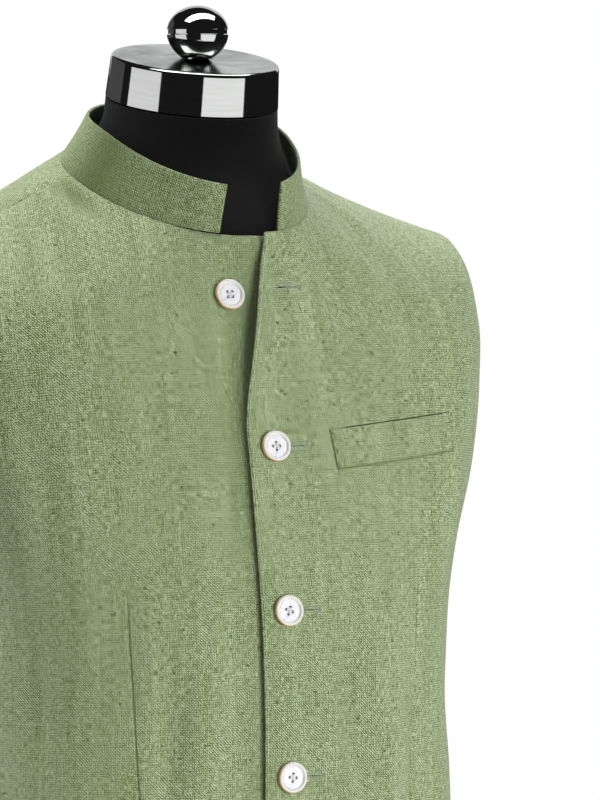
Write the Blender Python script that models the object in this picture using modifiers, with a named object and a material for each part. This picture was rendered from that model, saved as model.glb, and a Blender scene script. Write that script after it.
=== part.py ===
"""A sleeveless jacket with a band collar, worn by a limbless dress form on a stand.

Metres, +Z up. The front faces -Y and the wearer's left is +X. The floor is z = 0, and the
stand's axis is x = y = 0. All cloth is a wall through one family of rings round the body.
A ring is named by its drop: how far its front point lies below the pit of the neck.
"""

import math
from collections import namedtuple

import bpy
from mathutils import Vector

PARTS = "Jacket on a dress form"
CUTTERS = "Cutters"

# Stand
BASE_RADIUS = 0.180
BASE_HEIGHT = 0.016
BASE_EDGE = 0.005
POLE_RADIUS = 0.0125
POLE_LENGTH = 0.180

# Gaps and walls
SEAM_GAP = 0.0003
SEAM_STRIP = 0.0020
CLOTH = 0.0020
COLLAR_CLOTH = 0.0026
WELT_CLOTH = 0.0012

# Jacket
HEM_DROP = 0.620
TIP_DROP = 0.085
UNDERARM_DROP = 0.268
SHOULDER_SEAM_ANGLE = math.radians(90)
SIDE_SEAM_ANGLE = math.radians(97)
ARMHOLE_FRONT_ANGLE = math.radians(17.5)
ARMHOLE_BACK_ANGLE = math.radians(16)
ARMHOLE_TOP_FULLNESS = 3.2
ARMHOLE_FOOT_FULLNESS = 2.0

# The lap: the left front lies over the right one. Each edge is measured towards its own side
LEFT_EDGE = -0.0205
RIGHT_EDGE = -0.0240
LAP_STEP = 0.0014
LAP_FLAT = 0.027
LAP_END = 0.060

# The open top: the left edge is drawn aside and stands off down to the first fastened button
OPEN_ASIDE = 0.033
OPEN_DROP = 0.140
OPEN_CURVE = 1.35
OPEN_LIFT = 0.0055
OPEN_LIFT_WIDTH = 0.070

# Band collar
COLLAR_RIGHT_FOOT_X = -0.0212
COLLAR_RIGHT_TOP_X = -0.0190
COLLAR_LEFT_X = 0.0270
COLLAR_ROWS = 3
COLLAR_SEAM_GAP = 0.0006
COLLAR_BOW = 0.0008

# Buttons
BUTTON_RADIUS = 0.0113
BUTTON_HEIGHT = 0.0034
BUTTON_GAP = 0.0004
BUTTON_HOLE_RADIUS = 0.0010
BUTTON_HOLE_OFFSET = 0.0016
BUTTON_BORE_DEPTH = 0.0100
# The turned outline, from the top's middle to the underside's, as shares of radius and height
Turn = namedtuple("Turn", "radius height")
BUTTON_PROFILE = (
    Turn(0.0, 0.62),
    Turn(0.52, 0.62),
    Turn(0.60, 0.52),
    Turn(0.70, 0.86),
    Turn(0.82, 1.0),
    Turn(0.94, 0.86),
    Turn(1.0, 0.55),
    Turn(0.94, 0.20),
    Turn(0.72, 0.0),
    Turn(0.0, 0.0),
)
# How far each button lies below the neck pit
BUTTON_FALLS = (0.0425, 0.1505, 0.266, 0.384, 0.502)
OPEN_BUTTON_X = -0.0200

# Welt of the breast pocket, from its inner end to the end near the armhole
WELT_INNER_X = 0.0455
WELT_OUTER_X = 0.1555
WELT_INNER_FALL = 0.140
WELT_OUTER_FALL = 0.131
WELT_HEIGHT = 0.029
WELT_SLANT = 0.004
WELT_ROWS = 3

# Waist darts
DART_TOP_X = 0.1185
DART_HEM_X = 0.100
DART_TOP_DROP = 0.215
DART_RUN = 0.080
DART_DEPTH = 0.0014
DART_SHARE = 0.62

# Neck cap and finial, on an axis that leans forward
NECK_LEAN = math.radians(11)
CAP_BOTTOM_RADIUS = 0.0634
CAP_TOP_RADIUS = 0.0616
CAP_HEIGHT = 0.0325
CAP_EDGE = 0.0016
STEM_RADIUS = 0.0105
STEM_HEIGHT = 0.0008
BALL_RADIUS = 0.0226
BALL_HALF_HEIGHT = 0.0190
BALL_GROOVE = 0.0010
GROOVE_DEGREES = 4
BALL_TOP_STEPS = 6
BALL_FOOT_STEPS = 4
EDGE_STEPS = 3

# Rings from the top of the neck to the foot of the torso. Drops are below the pit of the neck,
# at the front, side and back. The eases are from the cloth's outer side in to the form.
Ring = namedtuple(
    "Ring",
    "drop half_width side_y front_y back_y side_drop back_drop squareness front_ease side_ease back_ease",
)
RINGS = (
    Ring(-0.0816, 0.0632, -0.0084, -0.0704, 0.0536, -0.0938, -0.1060, 2.00, 0.0, 0.0, 0.0),
    Ring(-0.0690, 0.0640, -0.0066, -0.0700, 0.0560, -0.0815, -0.0940, 2.00, 0.0, 0.0, 0.0),
    Ring(-0.0440, 0.0700, -0.0020, -0.0750, 0.0680, -0.0600, -0.0830, 2.00, 0.0, 0.0, 0.0),
    Ring(-0.0120, 0.0795, 0.0080, -0.0900, 0.0830, -0.0475, -0.0755, 2.00, 0.0, 0.0, 0.0),
    Ring(0.0000, 0.0880, 0.0120, -0.1015, 0.0950, -0.0415, -0.0690, 2.05, 0.0060, 0.0036, 0.0052),
    Ring(0.0220, 0.1240, 0.0070, -0.1070, 0.1045, -0.0260, -0.0480, 2.15, 0.0065, 0.0026, 0.0050),
    Ring(0.0460, 0.1630, -0.0010, -0.1135, 0.1140, -0.0100, -0.0220, 2.25, 0.0075, 0.0026, 0.0060),
    Ring(0.0700, 0.1960, -0.0090, -0.1205, 0.1215, 0.0020, 0.0050, 2.35, 0.0090, 0.0030, 0.0070),
    Ring(0.0900, 0.2125, -0.0120, -0.1265, 0.1260, 0.0090, 0.0275, 2.45, 0.0100, 0.0060, 0.0080),
    Ring(0.1120, 0.2185, -0.0130, -0.1325, 0.1300, 0.0350, 0.0560, 2.60, 0.0110, 0.0140, 0.0090),
    Ring(0.1500, 0.2160, -0.0140, -0.1425, 0.1340, 0.0880, 0.1060, 2.70, 0.0120, 0.0210, 0.0100),
    Ring(0.1950, 0.2055, -0.0140, -0.1510, 0.1350, 0.1500, 0.1620, 2.75, 0.0130, 0.0190, 0.0110),
    Ring(0.2350, 0.1910, -0.0140, -0.1580, 0.1335, 0.2060, 0.2120, 2.70, 0.0140, 0.0140, 0.0120),
    Ring(0.2680, 0.1835, -0.0145, -0.1630, 0.1290, 0.2510, 0.2520, 2.62, 0.0160, 0.0090, 0.0130),
    Ring(0.3300, 0.1815, -0.0160, -0.1675, 0.1200, 0.3260, 0.3280, 2.50, 0.0220, 0.0100, 0.0160),
    Ring(0.4000, 0.1830, -0.0170, -0.1685, 0.1160, 0.4000, 0.4000, 2.50, 0.0280, 0.0110, 0.0180),
    Ring(0.5000, 0.1900, -0.0160, -0.1685, 0.1220, 0.5000, 0.5000, 2.50, 0.0290, 0.0130, 0.0180),
    Ring(0.6200, 0.1990, -0.0140, -0.1680, 0.1320, 0.6200, 0.6200, 2.50, 0.0290, 0.0160, 0.0180),
    Ring(0.6800, 0.2030, -0.0140, -0.1680, 0.1360, 0.6800, 0.6800, 2.50, 0.0310, 0.0200, 0.0220),
)
COLLAR_TOP = Ring(-0.0340, 0.0730, -0.0060, -0.1100, 0.0740, -0.0757, -0.0960, 2.05, 0.0, 0.0, 0.0)
RIDGE_SOFTNESS = 0.22
FORM_FOOT_DROP = 0.665
FORM_FOOT_ROUND = 0.014
FORM_FOOT_SHARES = (0.5, 0.15, 0.0)
FORM_SEGMENTS = 40
NECK_PIT_Z = BASE_HEIGHT + POLE_LENGTH + SEAM_GAP + FORM_FOOT_DROP

# Soft folds of the cloth: where each is centred, its slant, its reach round the body, its
# width and its depth. Folds in the front are measured on the wearer's left or right side.
Fold = namedtuple("Fold", "angle drop slant reach width depth")
FOLDS = (
    Fold(math.radians(-98), 0.012, 0.0, math.radians(32), 0.008, -0.0022),
    Fold(math.radians(104), 0.013, 0.0, math.radians(26), 0.008, -0.0018),
    Fold(math.radians(-140), 0.170, 0.060, math.radians(11), 0.040, 0.0035),
    Fold(math.radians(138), 0.180, -0.060, math.radians(11), 0.045, 0.0030),
    Fold(math.radians(180), 0.330, 0.0, math.radians(38), 0.030, 0.0030),
    Fold(math.radians(-62), 0.330, -0.020, math.radians(16), 0.032, 0.0022),
    Fold(math.radians(64), 0.345, 0.020, math.radians(14), 0.036, 0.0022),
)

# Materials, with linear colours
Finish = namedtuple("Finish", "color roughness metallic")
OLIVE_LINEN = Finish((0.305, 0.402, 0.188), 0.90, 0.0)
SHELL = Finish((0.78, 0.77, 0.74), 0.25, 0.0)
BLACK_JERSEY = Finish((0.012, 0.014, 0.015), 0.80, 0.0)
POLISHED_CHROME = Finish((0.80, 0.80, 0.82), 0.08, 1.0)
STAND_CHROME = Finish((0.80, 0.80, 0.82), 0.20, 1.0)

# Steps of the searches and of the slopes
SEARCH_STEPS = 30
SLOPE_DROP = 0.002
SLOPE_TURN = 0.01

# Grids of the cloth, and the segments of the other pieces
SHOULDER_ROWS = 6
ARMHOLE_ROWS = 12
LOWER_ROWS = 10
COLUMNS_TO_DART = 7
COLUMNS_PAST_DART = 6
BACK_COLUMNS = 22
COLLAR_COLUMNS = 36
WELT_COLUMNS = 12
FORM_ARMHOLE_ROWS = 7
FORM_LOWER_ROWS = 6
BUTTON_SEGMENTS = 20
DRILL_SEGMENTS = 6
CAP_SEGMENTS = 40
BALL_SEGMENTS = 24
BASE_SEGMENTS = 56
POLE_SEGMENTS = 24


def clamp(value, low, high):
    return max(low, min(high, value))


def eased(share):
    """0 to 1 with a soft start and end."""
    share = clamp(share, 0.0, 1.0)
    return share * share * (3 - 2 * share)


def ring_at(drop):
    """The ring at any drop, on a smooth curve through the rows of the table."""
    last = len(RINGS) - 1
    index = clamp(sum(ring.drop <= drop for ring in RINGS) - 1, 0, last - 1)
    start, end = RINGS[index], RINGS[index + 1]
    before, after = RINGS[max(index - 1, 0)], RINGS[min(index + 2, last)]
    run = end.drop - start.drop
    share = (drop - start.drop) / run
    columns = [drop]
    for column in range(1, len(start)):
        rise = (end[column] - start[column]) / run
        leaving = tangent(before.drop, before[column], start.drop, start[column], run, rise)
        arriving = tangent(after.drop, after[column], end.drop, end[column], run, rise)
        columns.append(
            start[column] * (1 + 2 * share) * (1 - share) ** 2
            + leaving * run * share * (1 - share) ** 2
            + end[column] * (3 - 2 * share) * share**2
            - arriving * run * (1 - share) * share**2
        )
    return Ring(*columns)


def tangent(far_drop, far_value, near_drop, near_value, run, rise):
    """The slope at a row, from the stretches on its two sides."""
    gap = abs(far_drop - near_drop)
    if gap == 0:
        return rise
    outer = (far_value - near_value) / (far_drop - near_drop)
    return (outer * run + rise * gap) / (run + gap)


def ring_point(ring, angle):
    """A point of a ring. Angle 0 is the front, and a quarter turn is the wearer's left."""
    across, ahead = math.sin(angle), math.cos(angle)
    front_depth = ring.side_y - ring.front_y
    back_depth = ring.back_y - ring.side_y
    depth = front_depth if ahead > 0 else back_depth
    power = ring.squareness
    reach = ((abs(across) / ring.half_width) ** power + (abs(ahead) / depth) ** power) ** (-1 / power)
    # The ring's plane tilts from front to back. What the plane leaves is a soft ridge at the sides
    front_tilt = (ring.drop - ring.side_drop) / front_depth
    back_tilt = (ring.side_drop - ring.back_drop) / back_depth
    tilt = (front_tilt + back_tilt) / 2
    fall = (front_tilt - tilt) * front_depth if ahead > 0 else (tilt - back_tilt) * back_depth
    share = reach * abs(ahead) / depth
    full = math.hypot(1, RIDGE_SOFTNESS) - RIDGE_SOFTNESS
    ridge = (math.hypot(share, RIDGE_SOFTNESS) - RIDGE_SOFTNESS) / full
    drop = ring.side_drop + tilt * reach * ahead + fall * ridge
    return Vector((reach * across, ring.side_y - reach * ahead, NECK_PIT_Z - drop))


def body_point(drop, angle):
    return ring_point(ring_at(drop), angle)


def outward(drop, angle):
    """The unit normal of the rings' surface."""
    around = body_point(drop, angle + SLOPE_TURN) - body_point(drop, angle - SLOPE_TURN)
    down = body_point(drop + SLOPE_DROP, angle) - body_point(drop - SLOPE_DROP, angle)
    return down.cross(around).normalized()


def angle_at(ring, x):
    """The angle on the front of a ring at which it is x to the wearer's left."""
    low, high = -math.pi / 2, math.pi / 2
    for _ in range(SEARCH_STEPS):
        middle = (low + high) / 2
        if ring_point(ring, middle).x < x:
            low = middle
        else:
            high = middle
    return low


def place_at(x, fall):
    """The drop and angle of a place on the front, from x and its height below the neck pit."""
    low, high = 0.0, HEM_DROP
    for _ in range(SEARCH_STEPS):
        middle = (low + high) / 2
        ring = ring_at(middle)
        if NECK_PIT_Z - ring_point(ring, angle_at(ring, x)).z < fall:
            low = middle
        else:
            high = middle
    return low, angle_at(ring_at(low), x)


def fold_depth(drop, angle):
    """How far the soft folds sink the cloth."""
    total = 0.0
    for fold in FOLDS:
        turned = (angle - fold.angle + math.pi) % (2 * math.pi) - math.pi
        along = abs(turned) / fold.reach
        if along < 1:
            off = (drop - fold.drop - fold.slant * turned) / fold.width
            total += fold.depth * math.cos(along * math.pi / 2) ** 2 * math.exp(-off * off)
    return total


def cloth_point(drop, angle, lift):
    return body_point(drop, angle) + outward(drop, angle) * (lift - fold_depth(drop, angle))


def left_edge(drop):
    """Where the left front's free edge is: straight down, but drawn aside at the open top."""
    return LEFT_EDGE + OPEN_ASIDE * (1 - clamp(drop / OPEN_DROP, 0.0, 1.0)) ** OPEN_CURVE


def right_edge(drop):
    return RIGHT_EDGE


def lap(distance):
    """1 where the two fronts lie on each other, 0 away from there."""
    return 1 - eased((distance - LAP_FLAT) / (LAP_END - LAP_FLAT))


def left_cloth(drop, angle):
    """The outer side of the left front."""
    x = body_point(drop, angle).x
    standing = 1 - eased((x - left_edge(drop)) / OPEN_LIFT_WIDTH)
    opened = math.sin(math.pi * clamp(drop / OPEN_DROP, 0.0, 1.0)) ** 2
    return cloth_point(drop, angle, LAP_STEP * lap(x) + OPEN_LIFT * standing * opened)


def right_cloth(drop, angle):
    """The outer side of the right front."""
    x = body_point(drop, angle).x
    return cloth_point(drop, angle, -LAP_STEP * lap(-x))


def back_cloth(drop, angle):
    return cloth_point(drop, angle, 0.0)


def moved_angle(drop, angle, distance):
    """An angle moved along its ring by a distance."""
    around = body_point(drop, angle + SLOPE_TURN) - body_point(drop, angle - SLOPE_TURN)
    return angle + distance * 2 * SLOPE_TURN / around.length


def armhole_share(drop):
    """0 at the armhole's two ends, 1 at its widest."""
    if not TIP_DROP < drop < UNDERARM_DROP:
        return 0.0
    tip, foot = ring_at(TIP_DROP).side_drop, ring_at(UNDERARM_DROP).side_drop
    place = 1 - 2 * clamp((ring_at(drop).side_drop - tip) / (foot - tip), 0.0, 1.0)
    fullness = ARMHOLE_TOP_FULLNESS if place > 0 else ARMHOLE_FOOT_FULLNESS
    return (1 - abs(place) ** fullness) ** (1 / fullness)


def seam_angle(drop):
    """The shoulder seam down to its tip, then the armhole's middle, then the side seam."""
    share = eased((drop - TIP_DROP) / (UNDERARM_DROP - TIP_DROP))
    return SHOULDER_SEAM_ANGLE + (SIDE_SEAM_ANGLE - SHOULDER_SEAM_ANGLE) * share


def front_side_angle(drop):
    return moved_angle(drop, seam_angle(drop), -SEAM_GAP / 2) - ARMHOLE_FRONT_ANGLE * armhole_share(drop)


def back_side_angle(drop):
    return moved_angle(drop, seam_angle(drop), SEAM_GAP / 2) + ARMHOLE_BACK_ANGLE * armhole_share(drop)


def evenly(start, end, steps):
    return [start + (end - start) * step / steps for step in range(steps + 1)]


def cloth_drops():
    """The rows of a panel: close together at the armhole's two ends, wider apart below."""
    shoulder = evenly(0.0, TIP_DROP, SHOULDER_ROWS)
    turns = evenly(0.0, math.pi, ARMHOLE_ROWS)
    armhole = [TIP_DROP + (UNDERARM_DROP - TIP_DROP) * (1 - math.cos(turn)) / 2 for turn in turns]
    lower = evenly(UNDERARM_DROP, HEM_DROP, LOWER_ROWS)
    return shoulder[:-1] + armhole[:-1] + lower


def dart_x(drop):
    """The dart leans towards the front edge on its way down."""
    return DART_TOP_X + (DART_HEM_X - DART_TOP_X) * (drop - DART_TOP_DROP) / (HEM_DROP - DART_TOP_DROP)


def front_rows(side, cloth, edge):
    """A front's grid, from its free edge past the dart to its seams and armhole.

    The last column is a narrow strip, so that the rim at the seam stands square to the cloth.
    """
    rows = []
    for drop in cloth_drops():
        ring = ring_at(drop)
        edge_angle = angle_at(ring, edge(drop))
        outer_angle = front_side_angle(drop)
        strip_angle = moved_angle(drop, outer_angle, -SEAM_STRIP)
        dart_angle = min(angle_at(ring, dart_x(drop)), edge_angle + (outer_angle - edge_angle) * DART_SHARE)
        angles = evenly(edge_angle, dart_angle, COLUMNS_TO_DART)
        angles += evenly(dart_angle, strip_angle, COLUMNS_PAST_DART)[1:] + [outer_angle]
        row = [cloth(drop, side * angle) for angle in angles]
        sunk = DART_DEPTH * eased((drop - DART_TOP_DROP) / DART_RUN)
        row[COLUMNS_TO_DART] -= outward(drop, side * dart_angle) * sunk
        rows.append(row if side > 0 else row[::-1])
    return rows


def sheet_object(name, rows, thickness):
    """An open surface through rows of points, each from the wearer's right to left, made a wall."""
    width = len(rows[0])
    faces = []
    for row in range(len(rows) - 1):
        for column in range(width - 1):
            corner = row * width + column
            faces.append((corner, corner + width, corner + width + 1, corner + 1))
    mesh = bpy.data.meshes.new(name)
    mesh.from_pydata([point for row in rows for point in row], [], faces)
    obj = bpy.data.objects.new(name, mesh)
    wall = obj.modifiers.new("Wall", "SOLIDIFY")
    wall.thickness = thickness
    wall.offset = -1
    wall.use_even_offset = True
    return obj


def turned_object(name, profile, segments):
    """A closed body turned round Z, from a profile of radius and height that runs down."""
    mesh = bpy.data.meshes.new(name)
    edges = [(index, index + 1) for index in range(len(profile) - 1)]
    mesh.from_pydata([(radius, 0, height) for radius, height in profile], edges, [])
    obj = bpy.data.objects.new(name, mesh)
    turn = obj.modifiers.new("Turn", "SCREW")
    turn.steps = segments
    turn.render_steps = segments
    turn.use_merge_vertices = True
    turn.merge_threshold = 0.00001
    return obj


def arc(center, radii, start, end, steps):
    """Points on an arc, its angles in degrees up from the outward direction."""
    turns = [math.radians(angle) for angle in evenly(start, end, steps)]
    return [(center[0] + radii[0] * math.cos(turn), center[1] + radii[1] * math.sin(turn)) for turn in turns]


def add_part(obj, parts, finish):
    """Links a piece, gives it a material of its own and shades it smooth."""
    parts.objects.link(obj)
    material = bpy.data.materials.new(obj.name)
    material.use_nodes = True
    shader = material.node_tree.nodes["Principled BSDF"]
    shader.inputs["Base Color"].default_value = (*finish.color, 1.0)
    shader.inputs["Roughness"].default_value = finish.roughness
    shader.inputs["Metallic"].default_value = finish.metallic
    obj.data.materials.append(material)
    obj.data.shade_smooth()
    return obj


def build_jacket(parts):
    left = sheet_object("front_left", front_rows(1, left_cloth, left_edge), CLOTH)
    right = sheet_object("front_right", front_rows(-1, right_cloth, right_edge), CLOTH)
    back_rows = []
    for drop in cloth_drops():
        start = back_side_angle(drop)
        inner = moved_angle(drop, start, SEAM_STRIP)
        angles = [start] + evenly(inner, 2 * math.pi - inner, BACK_COLUMNS) + [2 * math.pi - start]
        back_rows.append([back_cloth(drop, angle) for angle in angles])
    back = sheet_object("back", back_rows, CLOTH)
    for panel in (left, right, back):
        add_part(panel, parts, OLIVE_LINEN)


def build_collar(parts):
    """A band that stands on the neckline, open at the front."""
    foot_start = angle_at(ring_at(0.0), COLLAR_LEFT_X)
    foot_end = 2 * math.pi + angle_at(ring_at(0.0), COLLAR_RIGHT_FOOT_X)
    top_start = angle_at(COLLAR_TOP, COLLAR_LEFT_X)
    top_end = 2 * math.pi + angle_at(COLLAR_TOP, COLLAR_RIGHT_TOP_X)
    shares = evenly(0.0, 1.0, COLLAR_COLUMNS)
    rows = []
    for rise in evenly(1.0, 0.0, COLLAR_ROWS):
        row = []
        for share in shares:
            foot = body_point(0.0, foot_start + (foot_end - foot_start) * share)
            top = ring_point(COLLAR_TOP, top_start + (top_end - top_start) * share)
            along = (top - foot).normalized()
            foot += along * COLLAR_SEAM_GAP
            inward = Vector((foot.x, foot.y, 0)).normalized()
            row.append(foot.lerp(top, rise) - inward * COLLAR_BOW * math.sin(math.pi * rise))
        rows.append(row)
    add_part(sheet_object("collar", rows, COLLAR_CLOTH), parts, OLIVE_LINEN)


def build_welt(parts):
    """The pocket's welt is made from the left front's points, moved out."""
    rows = []
    for height in evenly(0.0, 1.0, WELT_ROWS):
        row = []
        for share in evenly(0.0, 1.0, WELT_COLUMNS):
            x = WELT_INNER_X + (WELT_OUTER_X - WELT_INNER_X) * share
            x += WELT_SLANT * height * (1 - share)
            fall = WELT_INNER_FALL + (WELT_OUTER_FALL - WELT_INNER_FALL) * share
            drop, angle = place_at(x, fall + WELT_HEIGHT * height)
            row.append(left_cloth(drop, angle) + outward(drop, angle) * (SEAM_GAP + WELT_CLOTH))
        rows.append(row)
    add_part(sheet_object("chest_welt", rows, WELT_CLOTH), parts, OLIVE_LINEN)


def button_mesh(cutters):
    """A turned shell button with a dished middle, a raised rim and four holes."""
    profile = [(turn.radius * BUTTON_RADIUS, turn.height * BUTTON_HEIGHT) for turn in BUTTON_PROFILE]
    blank = turned_object("button_blank", profile, BUTTON_SEGMENTS)
    cutters.objects.link(blank)
    for x in (-BUTTON_HOLE_OFFSET, BUTTON_HOLE_OFFSET):
        for y in (-BUTTON_HOLE_OFFSET, BUTTON_HOLE_OFFSET):
            bpy.ops.mesh.primitive_cylinder_add(
                vertices=DRILL_SEGMENTS, radius=BUTTON_HOLE_RADIUS, depth=BUTTON_BORE_DEPTH, location=(x, y, 0)
            )
            drill = bpy.context.object
            drill.name = "button_drill"
            for collection in drill.users_collection:
                collection.objects.unlink(drill)
            cutters.objects.link(drill)
            hide_helper(drill)
            hole = blank.modifiers.new("Hole", "BOOLEAN")
            hole.object = drill
    graph = bpy.context.evaluated_depsgraph_get()
    mesh = bpy.data.meshes.new_from_object(blank.evaluated_get(graph))
    mesh.name = "button"
    hide_helper(blank)
    return mesh


def hide_helper(obj):
    obj.hide_render = True
    obj.display_type = "WIRE"


def build_buttons(parts, cutters):
    """The top button is open, on the right front. The others are fastened through the left one."""
    shared = button_mesh(cutters)
    for number, fall in enumerate(BUTTON_FALLS, start=1):
        x = OPEN_BUTTON_X if number == 1 else 0.0
        cloth = right_cloth if number == 1 else left_cloth
        drop, angle = place_at(x, fall)
        normal = outward(drop, angle)
        button = bpy.data.objects.new(f"button_{number}", shared.copy())
        button.location = cloth(drop, angle) + normal * BUTTON_GAP
        button.rotation_euler = normal.to_track_quat("Z", "Y").to_euler()
        add_part(button, parts, SHELL)


def form_point(drop, angle):
    """The form lies inside the cloth by the ring's ease."""
    ring = ring_at(drop)
    ease = ring.front_ease if math.cos(angle) > 0 else ring.back_ease
    ease = ring.side_ease + (ease - ring.side_ease) * math.cos(angle) ** 2
    sunk = clamp((drop - FORM_FOOT_DROP + FORM_FOOT_ROUND) / FORM_FOOT_ROUND, 0.0, 1.0)
    ease += FORM_FOOT_ROUND * (1 - math.sqrt(1 - sunk * sunk))
    return ring_point(ring, angle) - outward(drop, angle) * ease


def build_form(parts):
    """The torso and neck: rings closed by a flat top under the cap and a flat foot on the pole."""
    turns = [2 * math.pi * step / FORM_SEGMENTS for step in range(FORM_SEGMENTS)]
    drops = [ring.drop for ring in RINGS if ring.drop < 0]
    drops += evenly(0.0, TIP_DROP, SHOULDER_ROWS)[:-1]
    drops += evenly(TIP_DROP, UNDERARM_DROP, FORM_ARMHOLE_ROWS)[:-1]
    drops += evenly(UNDERARM_DROP, FORM_FOOT_DROP - FORM_FOOT_ROUND, FORM_LOWER_ROWS)
    drops += [FORM_FOOT_DROP - FORM_FOOT_ROUND * share for share in FORM_FOOT_SHARES]
    points = [form_point(drop, turn) for drop in drops for turn in turns]
    for point in points[-FORM_SEGMENTS:]:
        point.z = NECK_PIT_Z - FORM_FOOT_DROP
    faces = []
    for row in range(len(drops) - 1):
        for column in range(FORM_SEGMENTS):
            corner, beside = row * FORM_SEGMENTS + column, row * FORM_SEGMENTS + (column + 1) % FORM_SEGMENTS
            faces.append((corner, corner + FORM_SEGMENTS, beside + FORM_SEGMENTS, beside))
    faces.append(range(FORM_SEGMENTS))
    faces.append(range(len(points) - 1, len(points) - FORM_SEGMENTS - 1, -1))
    mesh = bpy.data.meshes.new("form_torso")
    mesh.from_pydata(points, [], faces)
    add_part(bpy.data.objects.new("form_torso", mesh), parts, BLACK_JERSEY)


def on_neck(obj, height):
    """Stands a turned piece on the neck's leaning axis, at a height above the neck's flat top."""
    top = RINGS[0]
    axis = Vector((0, -math.sin(NECK_LEAN), math.cos(NECK_LEAN)))
    obj.location = Vector((0, top.side_y, NECK_PIT_Z - top.side_drop)) + axis * height
    obj.rotation_euler = (NECK_LEAN, 0, 0)


def build_cap(parts):
    top_corner = (CAP_TOP_RADIUS - CAP_EDGE, CAP_HEIGHT - CAP_EDGE)
    profile = [(0, CAP_HEIGHT)]
    profile += arc(top_corner, (CAP_EDGE, CAP_EDGE), 90, 0, EDGE_STEPS)
    profile += [(CAP_BOTTOM_RADIUS, CAP_EDGE / 2), (CAP_BOTTOM_RADIUS - CAP_EDGE / 2, 0), (0, 0)]
    cap = turned_object("neck_cap", profile, CAP_SEGMENTS)
    on_neck(cap, SEAM_GAP)
    add_part(cap, parts, POLISHED_CHROME)


def build_finial(parts):
    """A slightly flattened ball with a groove round its middle, on a short stem."""
    center = (0, STEM_HEIGHT + BALL_HALF_HEIGHT)
    radii = (BALL_RADIUS, BALL_HALF_HEIGHT)
    stem_angle = -math.degrees(math.acos(STEM_RADIUS / BALL_RADIUS))
    profile = arc(center, radii, 90, GROOVE_DEGREES, BALL_TOP_STEPS)
    profile.append((BALL_RADIUS - BALL_GROOVE, center[1]))
    profile += arc(center, radii, -GROOVE_DEGREES, stem_angle, BALL_FOOT_STEPS)
    profile += [(STEM_RADIUS, 0), (0, 0)]
    profile[0] = (0, center[1] + BALL_HALF_HEIGHT)
    ball = turned_object("finial", profile, BALL_SEGMENTS)
    on_neck(ball, 2 * SEAM_GAP + CAP_HEIGHT)
    add_part(ball, parts, POLISHED_CHROME)


def build_stand(parts):
    corner = (BASE_RADIUS - BASE_EDGE, BASE_HEIGHT - BASE_EDGE)
    base_profile = [(0, BASE_HEIGHT)]
    base_profile += arc(corner, (BASE_EDGE, BASE_EDGE), 90, 0, EDGE_STEPS)
    base_profile += [(BASE_RADIUS, 0), (0, 0)]
    base = turned_object("stand_base", base_profile, BASE_SEGMENTS)
    add_part(base, parts, STAND_CHROME)
    bpy.ops.mesh.primitive_cylinder_add(
        vertices=POLE_SEGMENTS,
        radius=POLE_RADIUS,
        depth=POLE_LENGTH - SEAM_GAP,
        location=(0, 0, BASE_HEIGHT + SEAM_GAP + (POLE_LENGTH - SEAM_GAP) / 2),
    )
    pole = bpy.context.object
    pole.name = "stand_pole"
    for collection in pole.users_collection:
        collection.objects.unlink(pole)
    add_part(pole, parts, STAND_CHROME)


def main():
    for obj in list(bpy.data.objects):
        bpy.data.objects.remove(obj, do_unlink=True)
    parts = bpy.data.collections.new(PARTS)
    cutters = bpy.data.collections.new(CUTTERS)
    for collection in (parts, cutters):
        bpy.context.scene.collection.children.link(collection)
    build_stand(parts)
    build_form(parts)
    build_cap(parts)
    build_finial(parts)
    build_jacket(parts)
    build_collar(parts)
    build_welt(parts)
    build_buttons(parts, cutters)


main()
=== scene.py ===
"""The finish of the jacket on its dress form: fine cloth on the solids' form, sewing, buttons and metal.

Metres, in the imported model's frame: +Z up, the front faces -Y and the wearer's left is +X.
The rings and the cloth's rules are those of the part's source. Each fine piece replaces its node.
"""

import math
from collections import namedtuple
from functools import lru_cache

import bpy
import numpy as np
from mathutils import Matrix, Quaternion, Vector


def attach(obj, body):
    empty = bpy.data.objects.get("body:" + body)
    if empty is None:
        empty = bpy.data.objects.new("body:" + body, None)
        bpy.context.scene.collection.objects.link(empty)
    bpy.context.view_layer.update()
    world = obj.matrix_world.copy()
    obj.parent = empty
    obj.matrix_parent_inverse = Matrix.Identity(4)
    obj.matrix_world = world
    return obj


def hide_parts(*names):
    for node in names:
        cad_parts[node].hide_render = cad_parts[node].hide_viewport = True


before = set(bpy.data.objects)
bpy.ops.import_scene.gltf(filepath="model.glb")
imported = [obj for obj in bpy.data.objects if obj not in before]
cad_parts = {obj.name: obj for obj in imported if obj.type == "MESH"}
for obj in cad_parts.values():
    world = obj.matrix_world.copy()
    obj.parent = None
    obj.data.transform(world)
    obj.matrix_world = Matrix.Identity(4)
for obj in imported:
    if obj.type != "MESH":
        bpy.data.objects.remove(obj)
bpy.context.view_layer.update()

# Stand, as in the part's source
BASE_RADIUS = 0.180
BASE_HEIGHT = 0.016
BASE_EDGE = 0.005
POLE_RADIUS = 0.0125
POLE_LENGTH = 0.180
SEAM_GAP = 0.0003

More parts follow.
